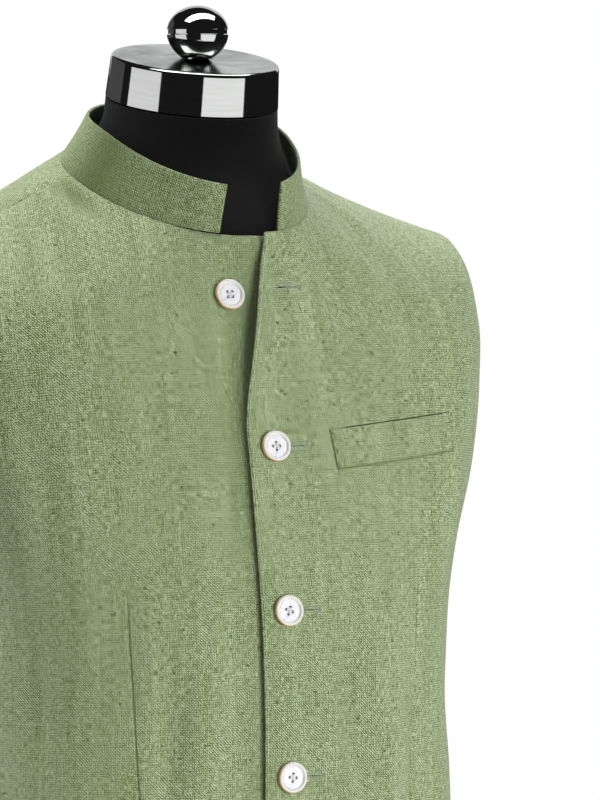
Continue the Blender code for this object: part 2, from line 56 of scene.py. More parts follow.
# Jacket, as in the part's source
HEM_DROP = 0.620
TIP_DROP = 0.085
UNDERARM_DROP = 0.268
SHOULDER_SEAM_ANGLE = math.radians(90)
SIDE_SEAM_ANGLE = math.radians(97)
ARMHOLE_FRONT_ANGLE = math.radians(17.5)
ARMHOLE_BACK_ANGLE = math.radians(16)
ARMHOLE_TOP_FULLNESS = 3.2
ARMHOLE_FOOT_FULLNESS = 2.0
LEFT_EDGE = -0.0205
RIGHT_EDGE = -0.0240
LAP_STEP = 0.0014
LAP_FLAT = 0.027
LAP_END = 0.060
OPEN_ASIDE = 0.033
OPEN_DROP = 0.140
OPEN_CURVE = 1.35
OPEN_LIFT = 0.0080
OPEN_LIFT_WIDTH = 0.070
COLLAR_RIGHT_FOOT_X = -0.0212
COLLAR_RIGHT_TOP_X = -0.0190
COLLAR_LEFT_X = 0.0270
COLLAR_SEAM_GAP = -0.0003
COLLAR_BOW = 0.0008
BUTTON_RADIUS = 0.0113
BUTTON_HEIGHT = 0.0034
BUTTON_GAP = 0.0004
BUTTON_FALLS = (0.0425, 0.1505, 0.266, 0.384, 0.502)
OPEN_BUTTON_X = -0.0200
WELT_INNER_X = 0.0455
WELT_OUTER_X = 0.1555
WELT_INNER_FALL = 0.140
WELT_OUTER_FALL = 0.131
WELT_HEIGHT = 0.029
WELT_SLANT = 0.004
WELT_CLOTH = 0.0012
DART_TOP_X = 0.1185
DART_HEM_X = 0.100
DART_TOP_DROP = 0.215
DART_RUN = 0.080
DART_DEPTH = 0.0014
DART_SHARE = 0.62
NECK_LEAN = math.radians(11)
NECK_AXIS = Vector((0, -math.sin(NECK_LEAN), math.cos(NECK_LEAN)))
CAP_BOTTOM_RADIUS = 0.0634
CAP_TOP_RADIUS = 0.0616
CAP_HEIGHT = 0.0325
CAP_EDGE = 0.0030
STEM_HEIGHT = 0.0008
BALL_FOOT_RADIUS = 0.0112
BALL_FOOT_HALF_HEIGHT = 0.0222
BALL_RADIUS = 0.0226
BALL_HALF_HEIGHT = 0.0190
BALL_BAND = 0.0016
BALL_GROOVE = 0.0010
GROOVE_DEGREES = 6

Ring = namedtuple(
    "Ring",
    "drop half_width side_y front_y back_y side_drop back_drop squareness front_ease side_ease back_ease",
)
RINGS = (
    Ring(-0.0816, 0.0632, -0.0084, -0.0704, 0.0536, -0.0938, -0.1060, 2.00, 0.0, 0.0, 0.0),
    Ring(-0.0690, 0.0640, -0.0066, -0.0700, 0.0560, -0.0815, -0.0940, 2.00, 0.0, 0.0, 0.0),
    Ring(-0.0440, 0.0700, -0.0020, -0.0750, 0.0680, -0.0600, -0.0830, 2.00, 0.0, 0.0, 0.0),
    Ring(-0.0120, 0.0795, 0.0080, -0.0900, 0.0830, -0.0475, -0.0755, 2.00, 0.0, 0.0, 0.0),
    Ring(0.0000, 0.0880, 0.0120, -0.1015, 0.0950, -0.0415, -0.0690, 2.05, 0.0060, 0.0036, 0.0052),
    Ring(0.0220, 0.1240, 0.0070, -0.1070, 0.1045, -0.0260, -0.0480, 2.15, 0.0065, 0.0026, 0.0050),
    Ring(0.0460, 0.1630, -0.0010, -0.1135, 0.1140, -0.0100, -0.0220, 2.25, 0.0075, 0.0026, 0.0060),
    Ring(0.0700, 0.1960, -0.0090, -0.1205, 0.1215, 0.0020, 0.0050, 2.35, 0.0090, 0.0030, 0.0070),
    Ring(0.0900, 0.2125, -0.0120, -0.1265, 0.1260, 0.0090, 0.0275, 2.45, 0.0100, 0.0060, 0.0080),
    Ring(0.1120, 0.2185, -0.0130, -0.1325, 0.1300, 0.0350, 0.0560, 2.60, 0.0110, 0.0140, 0.0090),
    Ring(0.1500, 0.2160, -0.0140, -0.1425, 0.1340, 0.0880, 0.1060, 2.70, 0.0120, 0.0210, 0.0100),
    Ring(0.1950, 0.2055, -0.0140, -0.1510, 0.1350, 0.1500, 0.1620, 2.75, 0.0130, 0.0190, 0.0110),
    Ring(0.2350, 0.1910, -0.0140, -0.1580, 0.1335, 0.2060, 0.2120, 2.70, 0.0140, 0.0140, 0.0120),
    Ring(0.2680, 0.1835, -0.0145, -0.1630, 0.1290, 0.2510, 0.2520, 2.62, 0.0160, 0.0090, 0.0130),
    Ring(0.3300, 0.1815, -0.0160, -0.1675, 0.1200, 0.3260, 0.3280, 2.50, 0.0220, 0.0100, 0.0160),
    Ring(0.4000, 0.1830, -0.0170, -0.1685, 0.1160, 0.4000, 0.4000, 2.50, 0.0280, 0.0110, 0.0180),
    Ring(0.5000, 0.1900, -0.0160, -0.1685, 0.1220, 0.5000, 0.5000, 2.50, 0.0290, 0.0130, 0.0180),
    Ring(0.6200, 0.1990, -0.0140, -0.1680, 0.1320, 0.6200, 0.6200, 2.50, 0.0290, 0.0160, 0.0180),
    Ring(0.6800, 0.2030, -0.0140, -0.1680, 0.1360, 0.6800, 0.6800, 2.50, 0.0310, 0.0200, 0.0220),
)
COLLAR_TOP = Ring(-0.0340, 0.0730, -0.0060, -0.1100, 0.0740, -0.0757, -0.0960, 2.05, 0.0, 0.0, 0.0)
RIDGE_SOFTNESS = 0.22
FORM_FOOT_DROP = 0.665
FORM_FOOT_ROUND = 0.014
NECK_PIT_Z = BASE_HEIGHT + POLE_LENGTH + SEAM_GAP + FORM_FOOT_DROP

Fold = namedtuple("Fold", "angle drop slant reach width depth")
FOLDS = (
    Fold(math.radians(-98), 0.012, 0.0, math.radians(32), 0.008, -0.0022),
    Fold(math.radians(104), 0.013, 0.0, math.radians(26), 0.008, -0.0018),
    Fold(math.radians(-140), 0.170, 0.060, math.radians(11), 0.040, 0.0035),
    Fold(math.radians(138), 0.180, -0.060, math.radians(11), 0.045, 0.0030),
    Fold(math.radians(180), 0.330, 0.0, math.radians(38), 0.030, 0.0030),
    Fold(math.radians(-62), 0.330, -0.020, math.radians(16), 0.032, 0.0022),
    Fold(math.radians(64), 0.345, 0.020, math.radians(14), 0.036, 0.0022),
)

# Drag folds from the neck over the shoulders, which only the fine cloth has
FINE_FOLDS = (
    Fold(math.radians(-80), 0.0072, 0.007, math.radians(34), 0.0036, 0.0024),
    Fold(math.radians(-72), 0.0190, 0.008, math.radians(28), 0.0062, -0.0016),
    Fold(math.radians(-62), 0.0440, 0.040, math.radians(22), 0.0100, 0.0016),
    Fold(math.radians(70), 0.0220, -0.083, math.radians(18), 0.0060, -0.0016),
    Fold(math.radians(60), 0.0400, -0.090, math.radians(18), 0.0070, 0.0014),
    Fold(math.radians(140), 0.0400, 0.040, math.radians(20), 0.0090, 0.0016),
    Fold(math.radians(-142), 0.0380, -0.050, math.radians(20), 0.0100, 0.0018),
)

# Finer creases: the middle of each, its lean from upright towards the wearer's
# left, its length and width, and its depth, which is negative for a ridge
Crease = namedtuple("Crease", "degrees drop lean length width depth")
CREASES = (
    # Wearer's right front
    Crease(-52, 0.050, -50, 0.110, 0.0110, -0.0013),
    Crease(-40, 0.062, -38, 0.090, 0.0100, 0.0010),
    Crease(-24, 0.100, -12, 0.120, 0.0140, 0.0008),
    Crease(-61, 0.165, 24, 0.120, 0.0120, 0.0018),
    Crease(-54, 0.190, 20, 0.110, 0.0120, -0.0012),
    Crease(-33, 0.370, -4, 0.170, 0.0130, 0.0026),
    Crease(-25, 0.340, -3, 0.190, 0.0130, -0.0018),
    Crease(-14, 0.300, 3, 0.120, 0.0100, 0.0008),
    Crease(-46, 0.300, 10, 0.150, 0.0140, 0.0012),
    Crease(-55, 0.400, 6, 0.200, 0.0160, -0.0018),
    Crease(-72, 0.470, -3, 0.230, 0.0180, 0.0024),
    Crease(-40, 0.520, 4, 0.180, 0.0170, 0.0022),
    Crease(-20, 0.540, -3, 0.150, 0.0150, -0.0012),
    Crease(-84, 0.560, 2, 0.130, 0.0150, -0.0018),
    Crease(-13, 0.150, 0, 0.300, 0.0110, 0.0026),
    Crease(-63, 0.335, 3, 0.150, 0.0150, 0.0022),
    # Wearer's left front
    Crease(66, 0.026, -70, 0.080, 0.0070, -0.0013),
    Crease(50, 0.046, 58, 0.130, 0.0100, -0.0015),
    Crease(42, 0.064, 50, 0.110, 0.0090, 0.0011),
    Crease(30, 0.082, 30, 0.120, 0.0120, -0.0008),
    Crease(66, 0.170, -22, 0.130, 0.0130, 0.0018),
    Crease(58, 0.215, -26, 0.100, 0.0110, -0.0010),
    Crease(19, 0.345, 4, 0.170, 0.0110, 0.0021),
    Crease(12, 0.335, 2, 0.150, 0.0100, -0.0012),
    Crease(31, 0.320, 8, 0.190, 0.0150, -0.0016),
    Crease(42, 0.370, -5, 0.180, 0.0150, 0.0021),
    Crease(55, 0.410, -3, 0.220, 0.0150, -0.0018),
    Crease(71, 0.450, 3, 0.220, 0.0170, 0.0024),
    Crease(28, 0.520, -4, 0.170, 0.0160, 0.0018),
    Crease(86, 0.560, -2, 0.140, 0.0160, -0.0016),
    # Back
    Crease(150, 0.060, 62, 0.120, 0.0110, -0.0014),
    Crease(211, 0.064, -60, 0.110, 0.0110, -0.0014),
    Crease(128, 0.150, -28, 0.130, 0.0140, 0.0020),
    Crease(120, 0.190, -26, 0.140, 0.0130, -0.0014),
    Crease(231, 0.155, 30, 0.130, 0.0140, 0.0019),
    Crease(241, 0.200, 24, 0.140, 0.0130, -0.0014),
    Crease(172, 0.120, 3, 0.150, 0.0160, 0.0010),
    Crease(160, 0.300, 12, 0.150, 0.0140, -0.0018),
    Crease(198, 0.310, -14, 0.140, 0.0140, -0.0018),
    Crease(178, 0.300, 84, 0.140, 0.0110, 0.0022),
    Crease(186, 0.345, 88, 0.120, 0.0100, -0.0014),
    Crease(146, 0.420, -4, 0.220, 0.0170, 0.0026),
    Crease(166, 0.500, 3, 0.200, 0.0180, -0.0022),
    Crease(189, 0.470, -2, 0.230, 0.0170, 0.0024),
    Crease(214, 0.440, 5, 0.200, 0.0160, -0.0020),
    Crease(226, 0.500, 2, 0.190, 0.0170, 0.0024),
    Crease(124, 0.480, 3, 0.220, 0.0170, -0.0020),
    Crease(112, 0.520, -2, 0.180, 0.0160, 0.0022),
    Crease(246, 0.470, -3, 0.210, 0.0170, 0.0022),
)
CREASE_RADIUS = 0.170
CREASE_STRENGTH = 1.7

# The hollow of the drag fold below the collar, on the wearer's right
HOLLOW_ANGLE = math.radians(-76)
HOLLOW_REACH = math.radians(27)
HOLLOW_DROP = 0.0075
HOLLOW_SLANT = 0.006
HOLLOW_WIDTH = 0.0048
HOLLOW_SHADE = 0.95

# Walls of the fine cloth, and the collar's soft waves
SHELL_CLOTH = 0.0016
COLLAR_SHELL = 0.0024
ROUND_EDGE = 0.0005
COLLAR_ROUND_EDGE = 0.0008
ROUNDED_FROM = math.radians(60)
COLLAR_WAVE = 0.0012
COLLAR_WAVES = 17.0

# Sewn lines press the cloth in beside them
SEAM_DEPTH = 0.0005
SEAM_WIDTH = 0.0018
FREE_EDGE_ROLL = 0.0005
DART_LINE_DEPTH = 0.0012
DART_LINE_WIDTH = 0.0006
DART_REACH = 0.030

# Painted shade that darkens the linen, kept per point: in the seams, the darts and the welt's border, beside
# the lap, and on the collar's side
PAINTED_SHADE_ATTRIBUTE = "sewn"
PAINTED_SHADE_STRENGTH = 0.75
SEAM_SHADE = 0.12
SEAM_SHADE_WIDTH = 0.0014
DART_SHADE_LEFT = 0.25
DART_SHADE_RIGHT = 0.50
UNDER_SHADE = 0.44
UNDER_SHADE_WIDTH = 0.015
UNDER_SHADE_DROP = 0.120
UNDER_SHADE_LEFT = 0.40
BAND_SHADE = 0.22
BAND_PAINTED_SHADE = 0.85
BAND_PAINTED_SHADE_ANGLE = math.radians(-74)
BAND_PAINTED_SHADE_REACH = math.radians(22)
WELT_SIDE_SHADE = 0.32
WELT_FOOT_SHADE = 0.85
WELT_SEAM = 0.0012
WELT_SEAM_WIDTH = 0.0010

# The left front's free edge stands up a little, and the right one lies deeper under it
EDGE_RISE = 0.0009
EDGE_RISE_WIDTH = 0.007
UNDER_DEPTH = 0.0014
UNDER_WIDTH = 0.0055
FAR_FROM_EDGE = 1.0

# Fine grids: distances from an edge and from the dart, and the steps between
EDGE_STRIPS = (0.0, 0.0006, 0.0013, 0.0022, 0.0034)
DART_STRIPS = (-0.0026, -0.0014, -0.0006, 0.0, 0.0006, 0.0014, 0.0026)
ROW_STEP = 0.0032
ARMHOLE_STEPS_SHARE = 1.3
STEPS_TO_DART = 34
STEPS_PAST_DART = 32
BACK_STEPS = 120
COLLAR_STEPS = 190
COLLAR_RISE_STEPS = 10
WELT_STEPS = 90
WELT_RISE_STEPS = 24
FORM_SEGMENTS = 96
FORM_STEP = 0.006
FORM_FOOT_SHARES = (0.7, 0.5, 0.3, 0.15, 0.05, 0.0)
TURN_SEGMENTS = 128
POLE_SEGMENTS = 64
CAP_EDGE_STEPS = 8
BALL_TOP_STEPS = 26
BALL_FOOT_STEPS = 24
BASE_EDGE_STEPS = 10
MERGE_DISTANCE = 0.00001
BUTTON_SEGMENTS = 56
BORE_SEGMENTS = 20
METAL_SHARP = math.radians(35)
ROUND_SHARP = math.radians(50)
SEARCH_STEPS = 20
SLOPE_DROP = 0.002
SLOPE_TURN = 0.01

# Threads are thin tubes, narrower at their two ends
TUBE_SIDES = 6
TUBE_END = 0.55
STITCH_PITCH = 0.00140
STITCH_RADIUS = 0.00040
STITCH_RISE = 0.00025
STITCH_STEPS = 4
STITCH_SUNK = 0.4

# Worked buttonholes, to the wearer's left of each button
HOLE_START = 0.0040
HOLE_END = 0.0245
OPEN_HOLE_START = 0.0152
OPEN_HOLE_END = 0.0330
OPEN_HOLE_RAISED = 0.0030
OPEN_MOUTH = 0.0050
OPEN_MOUTH_HALF = 0.00045
HOLE_HALF_HEIGHT = 0.0029
HOLE_SLIT = 0.00022
SLIT_SHARE = 0.8
SLIT_LIFT = 0.00006
SLIT_STEPS = 16
WANDER = 0.00018
WANDER_TURN = 2.4
BAR_STITCHES = 4
BAR_PITCH_SHARE = 0.8

# Pick stitches along the left front's free edge
EDGE_STITCH = 0.0011
EDGE_STITCH_GAP = 0.0022
EDGE_STITCH_INSIDE = 0.0018
EDGE_STITCH_RADIUS = 0.00050
EDGE_STITCH_LIFTS = (-0.6, 0.5, -0.6)
EDGE_STITCH_SIDES = 5

# The painted shadow of the pocket's mouth above the welt, and the stitches down the welt's two ends
WELT_MOUTH = 0.0008
MOUTH_LEAST = 0.35
MOUTH_TUCK = 0.0002
MOUTH_LIFT = 0.0001
MOUTH_STEPS = 60
WELT_STITCHES = 6
WELT_STITCH_INSIDE = 0.0012
WELT_STITCH_HALF = 0.0009
WELT_STITCH_LEAN = 0.0002
WELT_STITCH_RISE = 0.00016
WELT_STITCH_RADIUS = 0.00028
WELT_PATCH = 0.004

# Shell buttons: outline as shares of radius and height, from the top's middle to the underside's
Turn = namedtuple("Turn", "radius height")
BUTTON_OUTLINE = (
    Turn(0.00, 0.60),
    Turn(0.40, 0.61),
    Turn(0.62, 0.66),
    Turn(0.665, 0.64),
    Turn(0.69, 0.53),
    Turn(0.715, 0.53),
    Turn(0.74, 0.72),
    Turn(0.79, 0.93),
    Turn(0.855, 1.00),
    Turn(0.92, 0.95),
    Turn(0.975, 0.80),
    Turn(1.00, 0.62),
    Turn(1.00, 0.34),
    Turn(0.97, 0.12),
    Turn(0.88, 0.00),
    Turn(0.00, 0.00),
)
BUTTON_DEGREES = (2, 45, 24, 38, 12)
BUTTON_HOLE_OFFSET = 0.00185
BUTTON_HOLE_RADIUS = 0.00115
BUTTON_BORE = 0.010

# The thread crosses between the four holes: direction and rise of each crossing, in thread radii
THREAD_RADIUS = 0.00028
THREAD_CROSSINGS = ((1, 1.6), (-1, 0.8))
THREAD_STEPS = 8
THREAD_ASIDE = 0.9
THREAD_LEVEL = 0.62
THREAD_END = 0.6

# Camera: where it stands, and the height of its picture at the jacket
CAMERA_AZIMUTH = math.radians(-27)
CAMERA_ELEVATION = math.radians(3.2)
CAMERA_DISTANCE = 4.0
CAMERA_TARGET = Vector((0.074, -0.0377, NECK_PIT_Z - 0.1242))
PICTURE_HEIGHT = 0.588
SENSOR = 36.0

# Soft boxes round the object: azimuth 0 is in front, and plus is towards the wearer's left.
# Matt surfaces take their light from the first ones, and gloss mirrors only the panels
SoftBox = namedtuple("SoftBox", "name degrees distance height width tall brightness")
SOFT_BOXES = (
    SoftBox("key_light", 20, 2.3, 0.72, 1.7, 1.8, 4.1),
    SoftBox("side_light", -108, 2.2, 0.50, 1.3, 1.6, 1.45),
    SoftBox("rim_light", 135, 2.4, 2.30, 1.5, 1.4, 3.5),
    SoftBox("far_light", -128, 1.7, 3.20, 1.4, 1.4, 15.5),
)
PANELS = (
    SoftBox("panel_front", 17, 2.3, 0.03, 2.65, 1.24, 0.72),
    SoftBox("panel_side", -95, 2.2, 0.275, 2.0, 1.75, 0.60),
    SoftBox("panel_back", 150, 2.4, 2.05, 2.4, 1.9, 0.46),
    SoftBox("panel_low", 153, 2.3, -0.15, 3.0, 0.9, 0.90),
    SoftBox("panel_dim", -160, 2.3, 0.95, 2.2, 2.4, 0.045),
)
POWER_SHARE = 4.0
TOP_LIGHT_HEIGHT = 2.5
TOP_LIGHT_SIZE = 1.3
TOP_LIGHT_Y = 0.25
TOP_LIGHT_POWER = 17.0
TOP_PANEL_Y = -0.30
TOP_PANEL_SIZE = (2.8, 0.8)
TOP_PANEL_POWER = 22.0
WORLD_SEEN = 1.0
WORLD_DIFFUSE = 0.19
WORLD_GLOSSY = 0.010
FLOOR_RADIUS = 1.5
FLOOR_SEGMENTS = 128
FLOOR_Z = -0.0005

# Colours, linear
FLOOR_COLORS = ((0.3, (0.78, 0.78, 0.77)), (0.7, (0.8034, 0.8034, 0.7931)))
LINEN_DARK = (0.066, 0.105, 0.022)
LINEN_SHADE = (0.152, 0.212, 0.074)
LINEN_MIDDLE = (0.262, 0.335, 0.160)
LINEN_LIGHT = (0.505, 0.585, 0.390)
LINEN_COLORS = ((0.19, LINEN_DARK), (0.385, LINEN_SHADE), (0.515, LINEN_MIDDLE), (0.79, LINEN_LIGHT))
HOLE_THREAD = (0.350, 0.420, 0.290)
EDGE_THREAD = (0.600, 0.680, 0.440)
# Painted shadow: the dark sheets in the buttonhole slits and the pocket's mouth
SLIT_SHADOW = (0.018, 0.026, 0.008)
SEWING_THREAD = (0.085, 0.115, 0.050)
BUTTON_THREAD = (0.800, 0.780, 0.720)
JERSEY = (0.0012, 0.0016, 0.0013)
CHROME = (0.80, 0.81, 0.80)
# Painted reflection: the grey mottled tint of the cap's flat top, which dims what it mirrors
TOP_PAINTED_REFLECTION = ((0.34, (0.30, 0.33, 0.31)), (0.62, (0.82, 0.85, 0.83)))
PEARL_COLORS = (
    (0.30, (0.55, 0.59, 0.70)),
    (0.44, (0.77, 0.79, 0.85)),
    (0.58, (0.84, 0.83, 0.81)),
    (0.72, (0.73, 0.69, 0.78)),
)
AMBER_COLORS = ((0.35, (0.42, 0.20, 0.055)), (0.65, (0.72, 0.47, 0.22)))
SHELL_RIM = (0.72, 0.705, 0.665)

# Uneven yarn, as noise stretched along the threads: streaks in a metre across and down, their detail
# and place in the noise, and how much they add to the tone
Yarn = namedtuple("Yarn", "across down detail shift strength")
YARNS = (
    Yarn(1300.0, 210.0, 1.0, 0.0, 1.00),
    Yarn(430.0, 15.0, 2.0, 3.1, 0.28),
    Yarn(210.0, 1300.0, 1.0, 7.7, 0.75),
    Yarn(22.0, 480.0, 2.0, 5.3, 0.14),
    Yarn(1350.0, 1200.0, 0.0, 1.9, 0.80),
    Yarn(52.0, 5.0, 3.0, 2.2, 0.24),
)
TONE_MIDDLE = 0.49

# Thick places and flecks stand where the noise lies between two limits or above them
SLUBS = (
    (Yarn(640.0, 13.0, 0.0, 8.2, 0.12), 0.19, 0.30),
    (Yarn(18.0, 700.0, 0.0, 0.7, 0.08), 0.21, 0.32),
)
FLECKS = (Yarn(230.0, 330.0, 0.0, 9.3, 1.0), 0.285, 0.33)

# Twill comes and goes in patches, over a fine regular weave
TWILL_PITCH = 0.0023
TWILL_STRENGTH = 0.27
TWILL_WOBBLE = Yarn(130.0, 90.0, 1.0, 4.4, 7.0)
TWILL_PATCHES = Yarn(42.0, 24.0, 2.0, 6.1, 2.4)
TWILL_COVER = 0.55
THREAD_PITCH = 0.0016
THREAD_STRENGTH = 0.12
CHECK_STRENGTH = 0.24

# Noise by its scale, detail and distortion, and bumps by their strength and depth
PEARL_SWIRL = (210.0, 3.0, 1.6)
AMBER_PATCH = (120.0, 2.0)
KNIT = (900.0, 2.0)
KNIT_SHARE = 0.6
JERSEY_CLOUD = (18.0, 3.0)
JERSEY_TONES = ((0.35, 0.5), (0.68, 1.9))
WIPED_SCALE = (30.0, 30.0, 380.0)
WIPED_DETAIL = 4.0
WIPED_LIMITS = (0.3, 0.7)
WIPED_TONES = ((0.3, 0.92), (0.7, 1.0))
TOP_CLOUD = (26.0, 4.0, 0.8)
TOP_ROUGHER = 0.11
TWIST = (1600.0, 1.0)
TWIST_TONES = ((0.35, 0.55), (0.65, 1.35))
FLOOR_CLOUD = (3.0, 2.0)
LINEN_BUMP = (0.55, 0.0005)
SHELL_BUMP = (0.08, 0.0003)
JERSEY_BUMP = (0.35, 0.0003)
CHROME_BUMP = (0.02, 0.0004)

# The shell's rim starts at these shares of the radius, and its amber lies between two heights
RIM_FROM = 0.73
AMBER_FROM = 0.87
AMBER_HEIGHTS = (0.98, 0.82)
BARK = "bark"
BARK_SIDE = Vector((-0.75, 0.0, -0.65))

LINEN_FINISH = {
    "Roughness": 0.86, "Specular IOR Level": 0.25,
    "Sheen Weight": 0.35, "Sheen Roughness": 0.42, "Sheen Tint": (0.97, 0.97, 0.90, 1.0),
}
SHELL_FINISH = {"Roughness": 0.24, "Coat Weight": 0.6, "Coat Roughness": 0.10}
JERSEY_FINISH = {"Roughness": 0.82, "Specular IOR Level": 0.30, "Sheen Weight": 0.06}
THREAD_ROUGHNESS = 0.62
THREAD_SHEEN = 0.15
FLOOR_FINISH = {"Roughness": 0.7}
CHROME_ROUGHNESS = (0.03, 0.06)
STAND_ROUGHNESS = (0.14, 0.24)
NO_FLAT_TOP = 1.0


def clamp(value, low, high):
    return max(low, min(high, value))


def eased(share):
    """0 to 1 with a soft start and end."""
    share = clamp(share, 0.0, 1.0)
    return share * share * (3 - 2 * share)


def bell(distance, width):
    return math.exp(-((distance / width) ** 2))


def evenly(start, end, steps):
    return [start + (end - start) * step / steps for step in range(steps + 1)]


@lru_cache(maxsize=20000)
def ring_at(drop):
    """The ring at any drop, on a smooth curve through the rows of the table."""
    last = len(RINGS) - 1
    index = clamp(sum(ring.drop <= drop for ring in RINGS) - 1, 0, last - 1)
    start, end = RINGS[index], RINGS[index + 1]
    before, after = RINGS[max(index - 1, 0)], RINGS[min(index + 2, last)]
    run = end.drop - start.drop
    share = (drop - start.drop) / run
    columns = [drop]
    for column in range(1, len(start)):
        rise = (end[column] - start[column]) / run
        leaving = tangent(before.drop, before[column], start.drop, start[column], run, rise)
        arriving = tangent(after.drop, after[column], end.drop, end[column], run, rise)
        columns.append(
            start[column] * (1 + 2 * share) * (1 - share) ** 2
            + leaving * run * share * (1 - share) ** 2
            + end[column] * (3 - 2 * share) * share**2
            - arriving * run * (1 - share) * share**2
        )
    return Ring(*columns)


def tangent(far_drop, far_value, near_drop, near_value, run, rise):
    """The slope at a row, from the stretches on its two sides."""
    gap = abs(far_drop - near_drop)
    if gap == 0:
        return rise
    outer = (far_value - near_value) / (far_drop - near_drop)
    return (outer * run + rise * gap) / (run + gap)


def ring_point(ring, angle):
    """A point of a ring. Angle 0 is the front, and a quarter turn is the wearer's left."""
    across, ahead = math.sin(angle), math.cos(angle)
    front_depth = ring.side_y - ring.front_y
    back_depth = ring.back_y - ring.side_y
    depth = front_depth if ahead > 0 else back_depth
    power = ring.squareness
    reach = ((abs(across) / ring.half_width) ** power + (abs(ahead) / depth) ** power) ** (-1 / power)
    front_tilt = (ring.drop - ring.side_drop) / front_depth
    back_tilt = (ring.side_drop - ring.back_drop) / back_depth
    tilt = (front_tilt + back_tilt) / 2
    fall = (front_tilt - tilt) * front_depth if ahead > 0 else (tilt - back_tilt) * back_depth
    share = reach * abs(ahead) / depth
    full = math.hypot(1, RIDGE_SOFTNESS) - RIDGE_SOFTNESS
    ridge = (math.hypot(share, RIDGE_SOFTNESS) - RIDGE_SOFTNESS) / full
    drop = ring.side_drop + tilt * reach * ahead + fall * ridge
    return Vector((reach * across, ring.side_y - reach * ahead, NECK_PIT_Z - drop))


def body_point(drop, angle):
    return ring_point(ring_at(drop), angle)


def outward(drop, angle):
    """The unit normal of the rings' surface."""
    around = body_point(drop, angle + SLOPE_TURN) - body_point(drop, angle - SLOPE_TURN)
    down = body_point(drop + SLOPE_DROP, angle) - body_point(drop - SLOPE_DROP, angle)
    return down.cross(around).normalized()


def angle_at(ring, x):
    """The angle on the front of a ring at which it is x to the wearer's left."""
    low, high = -math.pi / 2, math.pi / 2
    for _ in range(SEARCH_STEPS):
        middle = (low + high) / 2
        if ring_point(ring, middle).x < x:
            low = middle
        else:
            high = middle
    return low


def place_at(x, fall):
    """The drop and angle of a place on the front, from x and its height below the neck pit."""
    low, high = 0.0, HEM_DROP
    for _ in range(SEARCH_STEPS):
        middle = (low + high) / 2
        ring = ring_at(middle)
        if NECK_PIT_Z - ring_point(ring, angle_at(ring, x)).z < fall:
            low = middle
        else:
            high = middle
    return low, angle_at(ring_at(low), x)


def turned_by(angle, other):
    """The turn from one angle to another, the short way."""
    return (angle - other + math.pi) % (2 * math.pi) - math.pi


def fold_depth(drop, angle):
    """How far the soft folds of the solids sink the cloth."""
    total = 0.0
    for fold in FOLDS + FINE_FOLDS:
        turned = turned_by(angle, fold.angle)
        along = abs(turned) / fold.reach
        if along < 1:
            off = drop - fold.drop - fold.slant * turned
            total += fold.depth * math.cos(along * math.pi / 2) ** 2 * bell(off, fold.width)
    return total


def crease_depth(drop, angle):
    """How far the finer creases sink the cloth."""
    total = 0.0
    for crease in CREASES:
        across = turned_by(angle, math.radians(crease.degrees)) * CREASE_RADIUS
        down = drop - crease.drop
        if abs(across) > crease.length or abs(down) > crease.length:
            continue
        lean = math.radians(crease.lean)
        share = 2 * (down * math.cos(lean) + across * math.sin(lean)) / crease.length
        if abs(share) < 1:
            off = across * math.cos(lean) - down * math.sin(lean)
            total += crease.depth * (1 - share * share) ** 2 * bell(off, crease.width)
    return CREASE_STRENGTH * total


def hollow_shade(drop, angle):
    """The shade in the hollow of the drag fold below the collar."""
    turned = turned_by(angle, HOLLOW_ANGLE)
    along = min(1.0, abs(turned) / HOLLOW_REACH)
    off = drop - HOLLOW_DROP - HOLLOW_SLANT * turned
    return HOLLOW_SHADE * math.cos(along * math.pi / 2) ** 2 * bell(off, HOLLOW_WIDTH)


def cloth_point(drop, angle, lift):
    sunk = fold_depth(drop, angle) + crease_depth(drop, angle)
    return body_point(drop, angle) + outward(drop, angle) * (lift - sunk)


def left_edge(drop):
    """Where the left front's free edge is: straight down, but drawn aside at the open top."""
    return LEFT_EDGE + OPEN_ASIDE * (1 - clamp(drop / OPEN_DROP, 0.0, 1.0)) ** OPEN_CURVE


def lap(distance):
    """1 where the two fronts lie on each other, 0 away from there."""
    return 1 - eased((distance - LAP_FLAT) / (LAP_END - LAP_FLAT))


def left_cloth(drop, angle, sunk=0.0):
    """The outer side of the left front."""
    x = body_point(drop, angle).x
    standing = 1 - eased((x - left_edge(drop)) / OPEN_LIFT_WIDTH)
    opened = math.sin(math.pi * clamp(drop / OPEN_DROP, 0.0, 1.0)) ** 2
    rise = EDGE_RISE * bell(x - left_edge(drop), EDGE_RISE_WIDTH)
    return cloth_point(drop, angle, LAP_STEP * lap(x) + OPEN_LIFT * standing * opened + rise - sunk)


def right_cloth(drop, angle, sunk=0.0):
    """The outer side of the right front."""
    x = body_point(drop, angle).x
    under = UNDER_DEPTH * bell(x - left_edge(drop), UNDER_WIDTH)
    return cloth_point(drop, angle, -LAP_STEP * lap(-x) - under - sunk)


def moved_angle(drop, angle, distance):
    """An angle moved along its ring by a distance."""
    around = body_point(drop, angle + SLOPE_TURN) - body_point(drop, angle - SLOPE_TURN)
    return angle + distance * 2 * SLOPE_TURN / around.length


def armhole_share(drop):
    """0 at the armhole's two ends, 1 at its widest."""
    if not TIP_DROP < drop < UNDERARM_DROP:
        return 0.0
    tip, foot = ring_at(TIP_DROP).side_drop, ring_at(UNDERARM_DROP).side_drop
    place = 1 - 2 * clamp((ring_at(drop).side_drop - tip) / (foot - tip), 0.0, 1.0)
    fullness = ARMHOLE_TOP_FULLNESS if place > 0 else ARMHOLE_FOOT_FULLNESS
    return (1 - abs(place) ** fullness) ** (1 / fullness)


def seam_angle(drop):
    """The shoulder seam down to its tip, then the armhole's middle, then the side seam."""
    share = eased((drop - TIP_DROP) / (UNDERARM_DROP - TIP_DROP))
    return SHOULDER_SEAM_ANGLE + (SIDE_SEAM_ANGLE - SHOULDER_SEAM_ANGLE) * share


